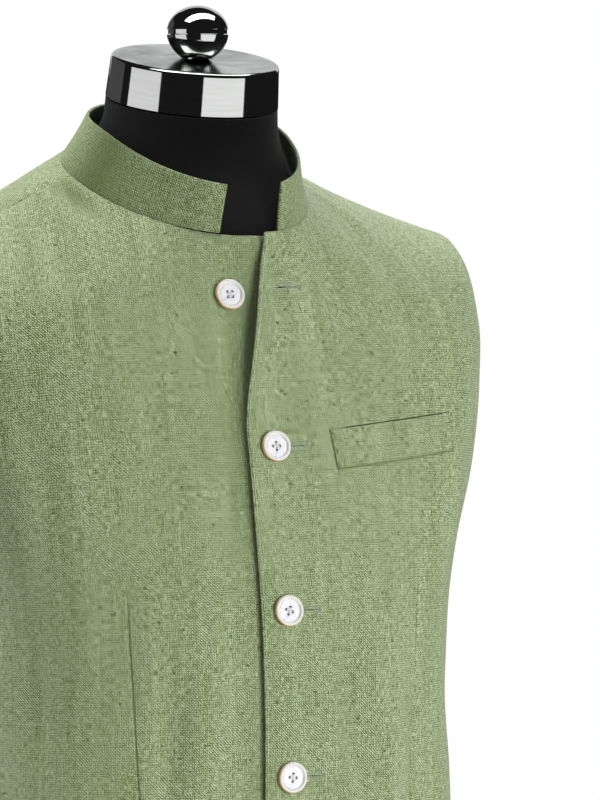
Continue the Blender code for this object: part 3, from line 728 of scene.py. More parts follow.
def front_side_angle(drop):
    return moved_angle(drop, seam_angle(drop), -SEAM_GAP / 2) - ARMHOLE_FRONT_ANGLE * armhole_share(drop)


def back_side_angle(drop):
    return moved_angle(drop, seam_angle(drop), SEAM_GAP / 2) + ARMHOLE_BACK_ANGLE * armhole_share(drop)


def fine_drops():
    """Rows of a panel: dense at the neckline, the hem and the armhole's two ends."""
    shoulder = evenly(0.0, TIP_DROP, round(TIP_DROP / ROW_STEP))
    turns = evenly(0.0, math.pi, round((UNDERARM_DROP - TIP_DROP) / ROW_STEP * ARMHOLE_STEPS_SHARE))
    armhole = [TIP_DROP + (UNDERARM_DROP - TIP_DROP) * (1 - math.cos(turn)) / 2 for turn in turns]
    lower = evenly(UNDERARM_DROP, HEM_DROP, round((HEM_DROP - UNDERARM_DROP) / ROW_STEP))
    top = [strip for strip in EDGE_STRIPS if strip < shoulder[1]]
    foot = [HEM_DROP - strip for strip in reversed(EDGE_STRIPS) if HEM_DROP - strip > lower[-2]]
    return top + shoulder[1:-1] + armhole[:-1] + lower[:-1] + foot


def dart_x(drop):
    """The dart leans towards the front edge on its way down."""
    return DART_TOP_X + (DART_HEM_X - DART_TOP_X) * (drop - DART_TOP_DROP) / (HEM_DROP - DART_TOP_DROP)


def pressed(drop, side_distance, edge_distance):
    """How far the sewing presses the cloth in near a seam, the neckline, the armhole and the hem."""
    depth = SEAM_DEPTH * bell(side_distance, SEAM_WIDTH)
    depth = max(depth, SEAM_DEPTH * bell(drop, SEAM_WIDTH))
    depth = max(depth, SEAM_DEPTH * bell(HEM_DROP - drop, SEAM_WIDTH))
    return max(depth, FREE_EDGE_ROLL * bell(edge_distance, SEAM_WIDTH))


def speed_at(drop, angle):
    """How far a place moves along its ring for a turn of one radian."""
    return (body_point(drop, angle + SLOPE_TURN) - body_point(drop, angle)).length / SLOPE_TURN


def under_shade(drop, angle):
    """The shade that the left front's free edge throws on the right front."""
    away = max(0.0, left_edge(drop) - body_point(drop, angle).x)
    fading = 1 - (1 - UNDER_SHADE_LEFT) * eased((drop - UNDER_SHADE_DROP) / UNDER_SHADE_DROP)
    return UNDER_SHADE * fading * bell(away, UNDER_SHADE_WIDTH)


def front_grid(side):
    """A front's points and painted shade marks in fine rows, each from its free edge over the dart to its
    seam.

    The side is 1 on the wearer's left and -1 on the right, whose rows run the other way.
    """
    cloth = left_cloth if side > 0 else right_cloth
    rows, marks = [], []
    for drop in fine_drops():
        ring = ring_at(drop)
        start = angle_at(ring, left_edge(drop) if side > 0 else RIGHT_EDGE)
        stop = front_side_angle(drop)
        dart = min(angle_at(ring, dart_x(drop)), start + (stop - start) * DART_SHARE)
        angles = [moved_angle(drop, start, strip) for strip in EDGE_STRIPS]
        darts = [moved_angle(drop, dart, strip) for strip in DART_STRIPS]
        ends = [moved_angle(drop, stop, -strip) for strip in reversed(EDGE_STRIPS)]
        angles += evenly(angles[-1], darts[0], STEPS_TO_DART)[1:-1] + darts
        angles += evenly(darts[-1], ends[0], STEPS_PAST_DART)[1:-1] + ends
        sewn = eased((drop - DART_TOP_DROP) / DART_RUN)
        row, shades = [], []
        for angle in angles:
            speed = speed_at(drop, angle)
            beside, off = (stop - angle) * speed, (angle - dart) * speed
            line = sewn * bell(off, DART_LINE_WIDTH)
            sunk = pressed(drop, beside, (angle - start) * speed)
            sunk += sewn * DART_DEPTH * max(0.0, 1 - abs(off) / DART_REACH) ** 2 + DART_LINE_DEPTH * line
            row.append(cloth(drop, side * angle, sunk))
            # Painted shade along the seams, the neckline and the dart line, and on the right front also
            # beside the lap and in the hollow below the collar
            seam = max(bell(beside, SEAM_SHADE_WIDTH), bell(drop, SEAM_SHADE_WIDTH))
            shade = max(line * (DART_SHADE_LEFT if side > 0 else DART_SHADE_RIGHT), SEAM_SHADE * seam)
            if side < 0:
                shade = max(shade, under_shade(drop, -angle), hollow_shade(drop, -angle))
            shades.append(shade)
        rows.append(row[::side])
        marks.append(shades[::side])
    return rows, marks


def back_grid():
    """The back's points in fine rows, from the wearer's left seam round to the right one. It has no painted
    shade marks.
    """
    rows = []
    for drop in fine_drops():
        start = back_side_angle(drop)
        strips = [moved_angle(drop, start, strip) for strip in EDGE_STRIPS]
        angles = strips + evenly(strips[-1], 2 * math.pi - strips[-1], BACK_STEPS)[1:-1]
        angles += [2 * math.pi - angle for angle in reversed(strips)]
        row = []
        for angle in angles:
            beside = min(angle - start, 2 * math.pi - start - angle) * speed_at(drop, angle)
            row.append(cloth_point(drop, angle, -pressed(drop, beside, FAR_FROM_EDGE)))
        rows.append(row)
    return rows, None


def collar_grid():
    """The collar's points and painted shade marks, from its top edge down to its foot."""
    foot_start = angle_at(ring_at(0.0), COLLAR_LEFT_X)
    foot_turn = 2 * math.pi + angle_at(ring_at(0.0), COLLAR_RIGHT_FOOT_X) - foot_start
    top_start = angle_at(COLLAR_TOP, COLLAR_LEFT_X)
    top_turn = 2 * math.pi + angle_at(COLLAR_TOP, COLLAR_RIGHT_TOP_X) - top_start
    rows, marks = [], []
    for rise in evenly(1.0, 0.0, COLLAR_RISE_STEPS):
        row, shades = [], []
        for share in evenly(0.0, 1.0, COLLAR_STEPS):
            angle = foot_start + foot_turn * share
            foot = body_point(0.0, angle)
            top = ring_point(COLLAR_TOP, top_start + top_turn * share)
            foot += (top - foot).normalized() * COLLAR_SEAM_GAP
            inward = Vector((foot.x, foot.y, 0)).normalized()
            bow = COLLAR_BOW * math.sin(math.pi * rise)
            bow += COLLAR_WAVE * math.sin(share * COLLAR_WAVES) * rise * (1 - share) * share * 4
            row.append(foot.lerp(top, rise) - inward * bow)
            # Painted shade on the collar's side at the wearer's right
            shades.append(BAND_PAINTED_SHADE * bell(turned_by(angle, BAND_PAINTED_SHADE_ANGLE), BAND_PAINTED_SHADE_REACH))
        rows.append(row)
        marks.append(shades)
    return rows, marks


def welt_fall(share):
    """The height of the welt's upper edge below the neck pit, along the welt."""
    return WELT_INNER_FALL + (WELT_OUTER_FALL - WELT_INNER_FALL) * share


def welt_x(share):
    return WELT_INNER_X + (WELT_OUTER_X - WELT_INNER_X) * share


def welt_grid():
    """The welt's points and painted shade marks, from its upper edge down."""
    rows, marks = [], []
    for height in evenly(0.0, 1.0, WELT_RISE_STEPS):
        row, shades = [], []
        for share in evenly(0.0, 1.0, WELT_STEPS):
            x = welt_x(share) + WELT_SLANT * height * (1 - share)
            drop, angle = place_at(x, welt_fall(share) + WELT_HEIGHT * height)
            row.append(left_cloth(drop, angle) + outward(drop, angle) * (SEAM_GAP + WELT_CLOTH))
            # Painted shade in the seams at the welt's two ends and along its foot
            beside = min(share, 1 - share) * (WELT_OUTER_X - WELT_INNER_X)
            below = (1 - height) * WELT_HEIGHT
            side_shade = WELT_SIDE_SHADE * bell(beside - WELT_SEAM, WELT_SEAM_WIDTH)
            shades.append(max(side_shade, WELT_FOOT_SHADE * bell(below - WELT_SEAM, WELT_SEAM_WIDTH)))
        rows.append(row)
        marks.append(shades)
    return rows, marks


def placed(name, data):
    """A new object in the scene."""
    obj = bpy.data.objects.new(name, data)
    bpy.context.scene.collection.objects.link(obj)
    return obj


def new_object(name, points, faces, node, slot, material):
    mesh = bpy.data.meshes.new(name)
    mesh.from_pydata(points, [], faces)
    return dressed(placed(name, mesh), node, material)


def dressed(obj, node, material, sharp=None):
    """Gives a piece its material, lets it ride on the body, and stand for its node."""
    obj.data.materials.clear()
    obj.data.materials.append(material)
    obj.data.shade_smooth()
    if sharp:
        obj.data.set_sharp_from_angle(angle=sharp)
    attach(obj, "root")
    if node:
        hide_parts(node)
    return obj


def grid_faces(rows, columns, closed=False):
    """Faces between rows of points. Closed rows run back to their start."""
    faces = []
    for row in range(rows - 1):
        for column in range(columns if closed else columns - 1):
            start, beside = row * columns + column, row * columns + (column + 1) % columns
            faces.append((start, start + columns, beside + columns, beside))
    return faces


def cloth_object(name, grid, node, material, thickness, edge, rests_on, upright=None):
    """A wall of cloth through rows of points, laid flat for its threads.

    The two places in the grid that it names lie on one upright thread. A strip names none.
    """
    rows, marks = grid
    width = len(rows[0])
    points = [point for row in rows for point in row]
    obj = new_object(name, points, grid_faces(len(rows), width), node, "linen", material)
    # The marks of painted shade are kept on the points as an attribute
    if marks:
        layer = obj.data.attributes.new(PAINTED_SHADE_ATTRIBUTE, "FLOAT", "POINT")
        layer.data.foreach_set("value", [mark for row in marks for mark in row])
    if upright:
        foot, head = (row * width + column for row, column in upright)
        flat, area = lay_flat(obj, foot, head)
    else:
        flat, area = lay_strip(obj, rows)
    wall = obj.modifiers.new("Wall", "SOLIDIFY")
    wall.thickness = thickness
    wall.offset = -1
    wall.use_even_offset = True
    rim = obj.modifiers.new("Rim", "BEVEL")
    rim.limit_method = "ANGLE"
    rim.angle_limit = ROUNDED_FROM
    rim.width = edge
    rim.segments = 2


def lay_strip(obj, rows):
    """UVs in metres of a band whose thread runs straight across it everywhere."""
    middle = rows[len(rows) // 2]
    along, across = [0.0], [0.0]
    for start, end in zip(middle, middle[1:]):
        along.append(along[-1] + (end - start).length)
    center = len(middle) // 2
    for start, end in zip(rows, rows[1:]):
        across.append(across[-1] + (end[center] - start[center]).length)
    layer = obj.data.uv_layers.new(name="UVMap")
    for loop, corner in zip(obj.data.loops, layer.data):
        row, column = divmod(loop.vertex_index, len(middle))
        corner.uv = (along[column], -across[row])
    area = sum(polygon.area for polygon in obj.data.polygons)
    return (along[-1], area / along[-1]), area


def lay_flat(obj, foot, head):
    """UVs in metres, as the piece is cut, with the thread from foot to head upright."""
    bpy.context.view_layer.objects.active = obj
    obj.select_set(True)
    bpy.ops.object.mode_set(mode="EDIT")
    bpy.ops.mesh.select_all(action="SELECT")
    bpy.ops.uv.unwrap(method="CONFORMAL", margin=0)
    bpy.ops.object.mode_set(mode="OBJECT")
    obj.select_set(False)
    mesh = obj.data
    count = len(mesh.loops)
    corners = np.empty(count, np.int32)
    mesh.loops.foreach_get("vertex_index", corners)
    laid = np.empty(count * 2, np.float32)
    mesh.uv_layers.active.data.foreach_get("uv", laid)
    laid = laid.reshape(-1, 2)
    place = np.zeros((len(mesh.vertices), 2))
    place[corners] = laid
    area = sum(polygon.area for polygon in mesh.polygons)
    quads = place[corners].reshape(-1, 4, 2)
    flat_area = 0.0
    for start, end in ((0, 1), (1, 2), (2, 3), (3, 0)):
        flat_area += (quads[:, start, 0] * quads[:, end, 1] - quads[:, end, 0] * quads[:, start, 1]).sum() / 2
    place *= math.sqrt(area / abs(flat_area))
    line = place[head] - place[foot]
    turn = math.pi / 2 - math.atan2(line[1], line[0])
    turning = np.array(((math.cos(turn), -math.sin(turn)), (math.sin(turn), math.cos(turn))))
    place = (place - place[foot]) @ turning.T
    mesh.uv_layers.active.data.foreach_set("uv", place[corners].astype(np.float32).ravel())
    size = place.max(axis=0) - place.min(axis=0)
    return (float(size[0]), float(size[1])), float(area)


def baked(obj):
    """Makes an object's modifiers part of its mesh."""
    graph = bpy.context.evaluated_depsgraph_get()
    made = bpy.data.meshes.new_from_object(obj.evaluated_get(graph))
    obj.modifiers.clear()
    obj.data = made


def turned_object(name, profile, segments):
    """A closed body turned round Z, from a profile of radius and height that runs down."""
    mesh = bpy.data.meshes.new(name)
    edges = [(index, index + 1) for index in range(len(profile) - 1)]
    mesh.from_pydata([(radius, 0, height) for radius, height in profile], edges, [])
    obj = placed(name, mesh)
    turn = obj.modifiers.new("Turn", "SCREW")
    turn.steps = segments
    turn.render_steps = segments
    turn.use_merge_vertices = True
    turn.merge_threshold = MERGE_DISTANCE
    baked(obj)
    return obj


def metal_object(name, profile, node, material, segments=TURN_SEGMENTS):
    return dressed(turned_object(name, profile, segments), node, material, METAL_SHARP)


def arc(center, radii, start, end, steps):
    """Points on an arc, its angles in degrees up from the outward direction."""
    turns = [math.radians(angle) for angle in evenly(start, end, steps)]
    return [(center[0] + radii[0] * math.cos(turn), center[1] + radii[1] * math.sin(turn)) for turn in turns]


# Materials

def linked(tree, kind, links=(), **values):
    """A node with its settings, and its inputs set to values or linked to outputs."""
    node = tree.nodes.new(kind)
    for name, value in values.items():
        setattr(node, name, value)
    for key, value in dict(links).items():
        if isinstance(value, bpy.types.NodeSocket):
            tree.links.new(value, node.inputs[key])
        else:
            node.inputs[key].default_value = value
    return node


def toned(tones, color):
    """The stops of a ramp: a position and a lighter or darker form of one colour at each."""
    return [(position, tuple(share * value for value in color)) for position, share in tones]


class Look:
    """A new material, with short ways to the nodes that looks are made of."""

    def __init__(self, name, coordinates="Object"):
        self.material = bpy.data.materials.new(name)
        self.material.use_nodes = True
        self.tree = self.material.node_tree
        self.place = self.node("ShaderNodeTexCoord").outputs[coordinates]
        self.parts = self.node("ShaderNodeSeparateXYZ", {0: self.place}).outputs

    def node(self, kind, links=(), **values):
        return linked(self.tree, kind, links, **values)

    def math(self, operation, first, second=0.0, third=0.0):
        return self.node("ShaderNodeMath", {0: first, 1: second, 2: third}, operation=operation).outputs[0]

    def noise(self, scale, detail, distortion=0.0, place=None):
        inputs = {"Vector": place or self.place, "Scale": scale, "Detail": detail, "Distortion": distortion}
        return self.node("ShaderNodeTexNoise", inputs).outputs["Fac"]

    def streaks(self, yarn):
        """Noise stretched along the threads, 0 in the middle."""
        scale, shift = (yarn.across, yarn.down, 1.0), (yarn.shift, yarn.shift, 0.0)
        scaled = self.node("ShaderNodeMapping", {"Vector": self.place, "Scale": scale, "Location": shift})
        return self.math("SUBTRACT", self.noise(1.0, yarn.detail, place=scaled.outputs[0]), 0.5)

    def waves(self, along, pitch, wobble=0.0):
        """Regular waves of a pitch in metres."""
        return self.math("SINE", self.math("MULTIPLY_ADD", along, 2 * math.pi / pitch, wobble))

    def spread(self, value, low, high, start=0.0, end=1.0):
        """A value between two limits, spread from a start to an end."""
        inputs = {"Value": value, "From Min": low, "From Max": high, "To Min": start, "To Max": end}
        return self.node("ShaderNodeMapRange", inputs).outputs[0]

    def mixed(self, share, first, second):
        inputs = {0: share, 6: first, 7: second}
        return self.node("ShaderNodeMix", inputs, data_type="RGBA").outputs[2]

    def ramp(self, factor, stops):
        """A colour ramp from (position, colour) pairs."""
        node = self.node("ShaderNodeValToRGB", {"Fac": factor})
        elements = node.color_ramp.elements
        while len(elements) < len(stops):
            elements.new(0.5)
        for element, (position, color) in zip(elements, stops):
            element.position = position
            element.color = (*color, 1.0)
        return node.outputs["Color"]

    def finished(self, color, inputs, height=None, bump=None):
        """The material with its colour, other inputs, and bumps of a height."""
        inputs = {"Base Color": color, **inputs}
        if height:
            strength, depth = bump
            links = {"Height": height, "Strength": strength, "Distance": depth}
            inputs["Normal"] = self.node("ShaderNodeBump", links).outputs[0]
        shader = self.tree.nodes["Principled BSDF"]
        for key, value in inputs.items():
            if isinstance(value, bpy.types.NodeSocket):
                self.tree.links.new(value, shader.inputs[key])
            else:
                shader.inputs[key].default_value = value
        return self.material


def linen_material(name, depth):
    """Twill of uneven linen yarn: upright and level slubs, fine diagonals, pale grain and dark flecks,
    darkened by painted shade from the points' marks and by a depth of painted shade over all of it.
    """
    look = Look(name, "UV")
    tone = TONE_MIDDLE
    for yarn in YARNS:
        tone = look.math("MULTIPLY_ADD", look.streaks(yarn), yarn.strength, tone)
    wobble = look.math("MULTIPLY", look.streaks(TWILL_WOBBLE), TWILL_WOBBLE.strength)
    diagonal = look.math("ADD", look.parts["X"], look.parts["Y"])
    patches = look.math("MULTIPLY_ADD", look.streaks(TWILL_PATCHES), TWILL_PATCHES.strength, TWILL_COVER)
    patches = look.node("ShaderNodeClamp", {"Value": patches}).outputs[0]
    twill = look.math("MULTIPLY", look.waves(diagonal, TWILL_PITCH, wobble), patches)
    tone = look.math("MULTIPLY_ADD", twill, TWILL_STRENGTH, tone)
    for yarn, low, high in SLUBS:
        tone = look.math("MULTIPLY_ADD", look.spread(look.streaks(yarn), low, high), yarn.strength, tone)
    upright, level = (look.waves(look.parts[axis], THREAD_PITCH) for axis in "XY")
    tone = look.math("MULTIPLY_ADD", look.math("ADD", upright, level), THREAD_STRENGTH, tone)
    tone = look.math("MULTIPLY_ADD", look.math("MULTIPLY", upright, level), CHECK_STRENGTH, tone)
    yarn, low, high = FLECKS
    dark = (*LINEN_DARK, 1.0)
    color = look.mixed(look.spread(look.streaks(yarn), low, high), look.ramp(tone, LINEN_COLORS), dark)
    # Painted shade: the points' shade marks and the material's depth of painted shade mix the colour towards
    # dark linen
    sewn = look.node("ShaderNodeAttribute", attribute_name=PAINTED_SHADE_ATTRIBUTE).outputs["Fac"]
    color = look.mixed(look.math("MULTIPLY_ADD", sewn, PAINTED_SHADE_STRENGTH, depth), color, dark)
    return look.finished(color, LINEN_FINISH, tone, LINEN_BUMP)


def shell_material():
    """Mother-of-pearl: cool white clouds on top, a plain pale rim, and amber shell low on its bark side."""
    look = Look("shell")
    swirl = look.noise(*PEARL_SWIRL)
    top, foot = (share * BUTTON_HEIGHT for share in AMBER_HEIGHTS)
    low = look.spread(look.parts["Z"], top, foot)
    squares = look.math("MULTIPLY", look.parts["Y"], look.parts["Y"])
    squares = look.math("MULTIPLY_ADD", look.parts["X"], look.parts["X"], squares)
    radius = look.math("SQRT", squares)
    outer = look.math("GREATER_THAN", radius, AMBER_FROM * BUTTON_RADIUS)
    rim = look.math("GREATER_THAN", radius, RIM_FROM * BUTTON_RADIUS)
    bark = look.node("ShaderNodeAttribute", attribute_name=BARK).outputs["Fac"]
    share = look.math("MULTIPLY", look.math("MULTIPLY", low, outer), bark)
    pearl = look.mixed(rim, look.ramp(swirl, PEARL_COLORS), (*SHELL_RIM, 1.0))
    color = look.mixed(share, pearl, look.ramp(look.noise(*AMBER_PATCH), AMBER_COLORS))
    return look.finished(color, SHELL_FINISH, swirl, SHELL_BUMP)


def jersey_material():
    """Black jersey drawn tight: fine knitted ribs that catch a little light."""
    look = Look("jersey")
    knit = look.noise(*KNIT)
    cloud = look.math("MULTIPLY", look.noise(*JERSEY_CLOUD), 1 - KNIT_SHARE)
    tone = look.math("MULTIPLY_ADD", knit, KNIT_SHARE, cloud)
    return look.finished(look.ramp(tone, toned(JERSEY_TONES, JERSEY)), JERSEY_FINISH, knit, JERSEY_BUMP)


def chrome_material(name, roughness, top_height):
    """Polished metal with faint wiping marks, rougher and grey-mottled on the flat top above a height of its
    own; the grey mottled tint is painted reflection.
    """
    look = Look(name)
    marks = look.node("ShaderNodeMapping", {"Vector": look.place, "Scale": WIPED_SCALE}).outputs[0]
    wiped = look.noise(1.0, WIPED_DETAIL, place=marks)
    top = look.math("GREATER_THAN", look.parts["Z"], top_height)
    rough = look.math("MULTIPLY_ADD", top, TOP_ROUGHER, look.spread(wiped, *WIPED_LIMITS, *roughness))
    painted_top = look.ramp(look.noise(*TOP_CLOUD), TOP_PAINTED_REFLECTION)
    color = look.mixed(top, look.ramp(wiped, toned(WIPED_TONES, CHROME)), painted_top)
    return look.finished(color, {"Roughness": rough, "Metallic": 1.0}, wiped, CHROME_BUMP)


def thread_material(name, color, sheen=THREAD_SHEEN):
    """Twisted thread: fine diagonal light and dark."""
    look = Look(name)
    finish = {"Roughness": THREAD_ROUGHNESS, "Sheen Weight": sheen, "Specular IOR Level": sheen}
    return look.finished(look.ramp(look.noise(*TWIST), toned(TWIST_TONES, color)), finish)


# Pieces

def build_cloth(linen, band):
    wall = (linen, SHELL_CLOTH, ROUND_EDGE)
    last = len(fine_drops()) - 1
    middle = last // 2
    past = len(EDGE_STRIPS) * 2 + len(DART_STRIPS) + STEPS_TO_DART + STEPS_PAST_DART - 3
    center = (BACK_STEPS + 2 * len(EDGE_STRIPS)) // 2
    upright = ((last, 0), (middle, 0))
    cloth_object("left_front", front_grid(1), "front_left", *wall, ["form_torso", "front_right"], upright)
    upright = ((last, past), (middle, past))
    cloth_object("right_front", front_grid(-1), "front_right", *wall, ["form_torso"], upright)
    upright = ((last, center), (middle, center))
    cloth_object("back_panel", back_grid(), "back", *wall, ["form_torso"], upright)
    wall = (band, COLLAR_SHELL, COLLAR_ROUND_EDGE)
    cloth_object("band_collar", collar_grid(), "collar", *wall, ["left_front", "right_front", "back_panel"])
    wall = (linen, WELT_CLOTH, ROUND_EDGE / 2)
    upright = ((WELT_RISE_STEPS, WELT_STEPS // 2), (0, WELT_STEPS // 2))
    cloth_object("pocket_welt", welt_grid(), "chest_welt", *wall, ["left_front"], upright)


class Patch:
    """A small stretch of the left front round a place, as a curved sheet in two local directions."""

    def __init__(self, x, fall, half):
        self.center = self.at(x, fall)
        left, right = self.at(x - half, fall), self.at(x + half, fall)
        upper, lower = self.at(x, fall - half), self.at(x, fall + half)
        self.across = (right - left) / (2 * half)
        self.bend = (right + left - 2 * self.center) / (2 * half * half)
        self.up = (upper - lower).normalized()
        self.normal = self.across.cross(self.up).normalized()

    def at(self, x, fall):
        return left_cloth(*place_at(x, fall))

    def point(self, across, up, lift):
        bent = self.center + self.across * across + self.bend * across * across
        return bent + self.up * up + self.normal * lift


def tube(points, faces, path, normal, radius, sides=TUBE_SIDES):
    """Adds a thread along a path, thinner at its two ends."""
    first = len(points)
    last = len(path) - 1
    for index, place in enumerate(path):
        way = (path[min(index + 1, last)] - path[max(index - 1, 0)]).normalized()
        side = way.cross(normal).normalized()
        over = side.cross(way)
        size = radius * (TUBE_END if index in (0, last) else 1.0)
        for turn in evenly(0.0, 2 * math.pi, sides)[:-1]:
            points.append(place + (side * math.cos(turn) + over * math.sin(turn)) * size)
    for face in grid_faces(last + 1, sides, closed=True):
        faces.append([first + corner for corner in reversed(face)])
    faces.append([first + corner for corner in reversed(range(sides))])
    faces.append([first + last * sides + corner for corner in range(sides)])


def stitch(points, faces, patch, start, end, rise=STITCH_RISE, radius=STITCH_RADIUS):
    """One stitch between two local places, arched over the cloth."""
    path = []
    for share in evenly(0.0, 1.0, STITCH_STEPS):
        across = start[0] + (end[0] - start[0]) * share
        up = start[1] + (end[1] - start[1]) * share
        lift = rise * (1 - (2 * share - 1) ** 2) - radius * STITCH_SUNK
        path.append(patch.point(across, up, lift))
    tube(points, faces, path, patch.normal, radius)


def build_buttonhole(number, start, end, fall, thread, slit):
    """Satin stitches on both sides of a slit, with a bar tack at the outer end, and a dark sheet in the slit
    as its painted shadow. The first one gapes.
    """
    half = (end - start) / 2
    patch = Patch((start + end) / 2, fall, half)

    def gaping(across):
        along = clamp((across + half) / OPEN_MOUTH, 0.0, 1.0)
        return OPEN_MOUTH_HALF * math.sin(math.pi * along) if number == 1 else 0.0

    points, faces = [], []
    for step in range(round(2 * half / STITCH_PITCH)):
        across = -half + (step + 0.5) * STITCH_PITCH
        wander = WANDER * math.sin(step * WANDER_TURN + number)
        inner = HOLE_SLIT + gaping(across)
        stitch(points, faces, patch, (across, inner), (across + wander, HOLE_HALF_HEIGHT + wander))
        stitch(points, faces, patch, (across, -inner), (across - wander, -HOLE_HALF_HEIGHT + wander))
    for step in range(BAR_STITCHES):
        across = half + (step - 1) * STITCH_PITCH * BAR_PITCH_SHARE
        upper, lower = (across, HOLE_HALF_HEIGHT), (across, -HOLE_HALF_HEIGHT)
        stitch(points, faces, patch, upper, lower, 2 * STITCH_RISE)
    new_object(f"buttonhole_{number}", points, faces, None, "linen", thread)
    # A dark sheet in the slit, painted shadow of the opening
    points = []
    for across in evenly(-half, half, SLIT_STEPS):
        inner = HOLE_SLIT * SLIT_SHARE + gaping(across)
        points += [patch.point(across, -inner, SLIT_LIFT), patch.point(across, inner, SLIT_LIFT)]
    faces = grid_faces(SLIT_STEPS + 1, 2)
    new_object(f"buttonhole_slit_shadow_{number}", points, faces, None, "linen", slit)


def build_edge_stitches(thread):
    """Small pick stitches just inside the left front's free edge."""
    points, faces = [], []
    for step in range(round((HEM_DROP - 2 * EDGE_STITCH_GAP) / EDGE_STITCH_GAP)):
        path = []
        for share, lift in zip(evenly(0.0, 1.0, 2), EDGE_STITCH_LIFTS):
            drop = EDGE_STITCH_GAP * (step + 1) + EDGE_STITCH * share
            angle = angle_at(ring_at(drop), left_edge(drop) + EDGE_STITCH_INSIDE)
            path.append(left_cloth(drop, angle) + outward(drop, angle) * EDGE_STITCH_RADIUS * lift)
        tube(points, faces, path, Vector((0, -1, 0)), EDGE_STITCH_RADIUS, EDGE_STITCH_SIDES)
    new_object("edge_stitches", points, faces, None, "linen", thread)


def build_welt_stitches(thread, slit):
    """A dark sheet as the painted shadow of the pocket's mouth above the welt, and small pick stitches down
    its two ends.
    """
    points = []
    for share in evenly(0.0, 1.0, MOUTH_STEPS):
        open_by = WELT_MOUTH * (MOUTH_LEAST + (1 - MOUTH_LEAST) * math.sin(math.pi * share) ** 0.5)
        for height in (MOUTH_TUCK, -open_by):
            drop, angle = place_at(welt_x(share), welt_fall(share) + height)
            points.append(left_cloth(drop, angle) + outward(drop, angle) * MOUTH_LIFT)
    new_object("pocket_mouth_shadow", points, grid_faces(MOUTH_STEPS + 1, 2), None, "linen", slit)
    points, faces = [], []
    for end, inside in ((0, WELT_STITCH_INSIDE), (1, -WELT_STITCH_INSIDE)):
        for step in range(WELT_STITCHES):
            height = (step + 0.5) / WELT_STITCHES
            x = welt_x(end) + WELT_SLANT * height * (1 - end) + inside
            patch = Patch(x, welt_fall(end) + WELT_HEIGHT * height, WELT_PATCH)
            patch.center += patch.normal * (SEAM_GAP + WELT_CLOTH)
            upper, lower = (0.0, WELT_STITCH_HALF), (WELT_STITCH_LEAN, -WELT_STITCH_HALF)
            stitch(points, faces, patch, upper, lower, WELT_STITCH_RISE, WELT_STITCH_RADIUS)
    new_object("welt_stitches", points, faces, None, "linen", thread)


def button_drills():
    """Cutters for the four holes, round the button's axis."""
    drills = []
    for x in (-BUTTON_HOLE_OFFSET, BUTTON_HOLE_OFFSET):
        for y in (-BUTTON_HOLE_OFFSET, BUTTON_HOLE_OFFSET):
            bpy.ops.mesh.primitive_cylinder_add(
                vertices=BORE_SEGMENTS, radius=BUTTON_HOLE_RADIUS, depth=BUTTON_BORE, location=(x, y, 0)
            )
            drills.append(bpy.context.object)
    return drills


def button_sewing():
    """Points and faces of the crossed thread of a button, two strands to a crossing."""
    points, faces = [], []
    for sign, rise in THREAD_CROSSINGS:
        path = []
        for share in evenly(-1.0, 1.0, THREAD_STEPS):
            level = THREAD_LEVEL * BUTTON_HEIGHT + THREAD_RADIUS * rise * (1 - share**4)
            level -= THREAD_END * BUTTON_HEIGHT if abs(share) == 1.0 else 0.0
            path.append(Vector((share * BUTTON_HOLE_OFFSET, sign * share * BUTTON_HOLE_OFFSET, level)))
        for aside in (-THREAD_ASIDE, THREAD_ASIDE):
            offset = Vector((-sign, 1, 0)).normalized() * THREAD_RADIUS * aside
            tube(points, faces, [place + offset for place in path], Vector((0, 0, 1)), THREAD_RADIUS)
    return points, faces


def build_buttons(shell, thread):
    """Shell buttons, each turned its own way, with darker bark on one side of the rim."""
    profile = [(turn.radius * BUTTON_RADIUS, turn.height * BUTTON_HEIGHT) for turn in BUTTON_OUTLINE]
    drills = button_drills()
    for number, (fall, degrees) in enumerate(zip(BUTTON_FALLS, BUTTON_DEGREES), start=1):
        x, cloth = (OPEN_BUTTON_X, right_cloth) if number == 1 else (0.0, left_cloth)
        drop, angle = place_at(x, fall)
        normal = outward(drop, angle)
        turn = normal.to_track_quat("Z", "Y") @ Quaternion((0, 0, 1), math.radians(degrees))
        button = turned_object(f"pearl_button_{number}", profile, BUTTON_SEGMENTS)
        for drill in drills:
            button.modifiers.new("Hole", "BOOLEAN").object = drill
        baked(button)
        dressed(button, f"button_{number}", shell, ROUND_SHARP)
        side = turn.inverted() @ BARK_SIDE
        bark = button.data.attributes.new(BARK, "FLOAT", "POINT")
        places = [vertex.co.dot(side) / BUTTON_RADIUS for vertex in button.data.vertices]
        bark.data.foreach_set("value", [clamp(0.5 + place, 0.0, 1.0) for place in places])
        sewn = new_object(f"button_thread_{number}", *button_sewing(), None, "linen", thread)
        for obj in (button, sewn):
            obj.rotation_mode = "QUATERNION"
            obj.rotation_quaternion = turn
            obj.location = cloth(drop, angle) + normal * BUTTON_GAP
    for drill in drills:
        bpy.data.objects.remove(drill, do_unlink=True)


def form_point(drop, angle):
    """The form lies inside the cloth by the ring's ease."""
    ring = ring_at(drop)
    ease = ring.front_ease if math.cos(angle) > 0 else ring.back_ease
    ease = ring.side_ease + (ease - ring.side_ease) * math.cos(angle) ** 2
    sunk = clamp((drop - FORM_FOOT_DROP + FORM_FOOT_ROUND) / FORM_FOOT_ROUND, 0.0, 1.0)
    ease += FORM_FOOT_ROUND * (1 - math.sqrt(1 - sunk * sunk))
    return ring_point(ring, angle) - outward(drop, angle) * ease


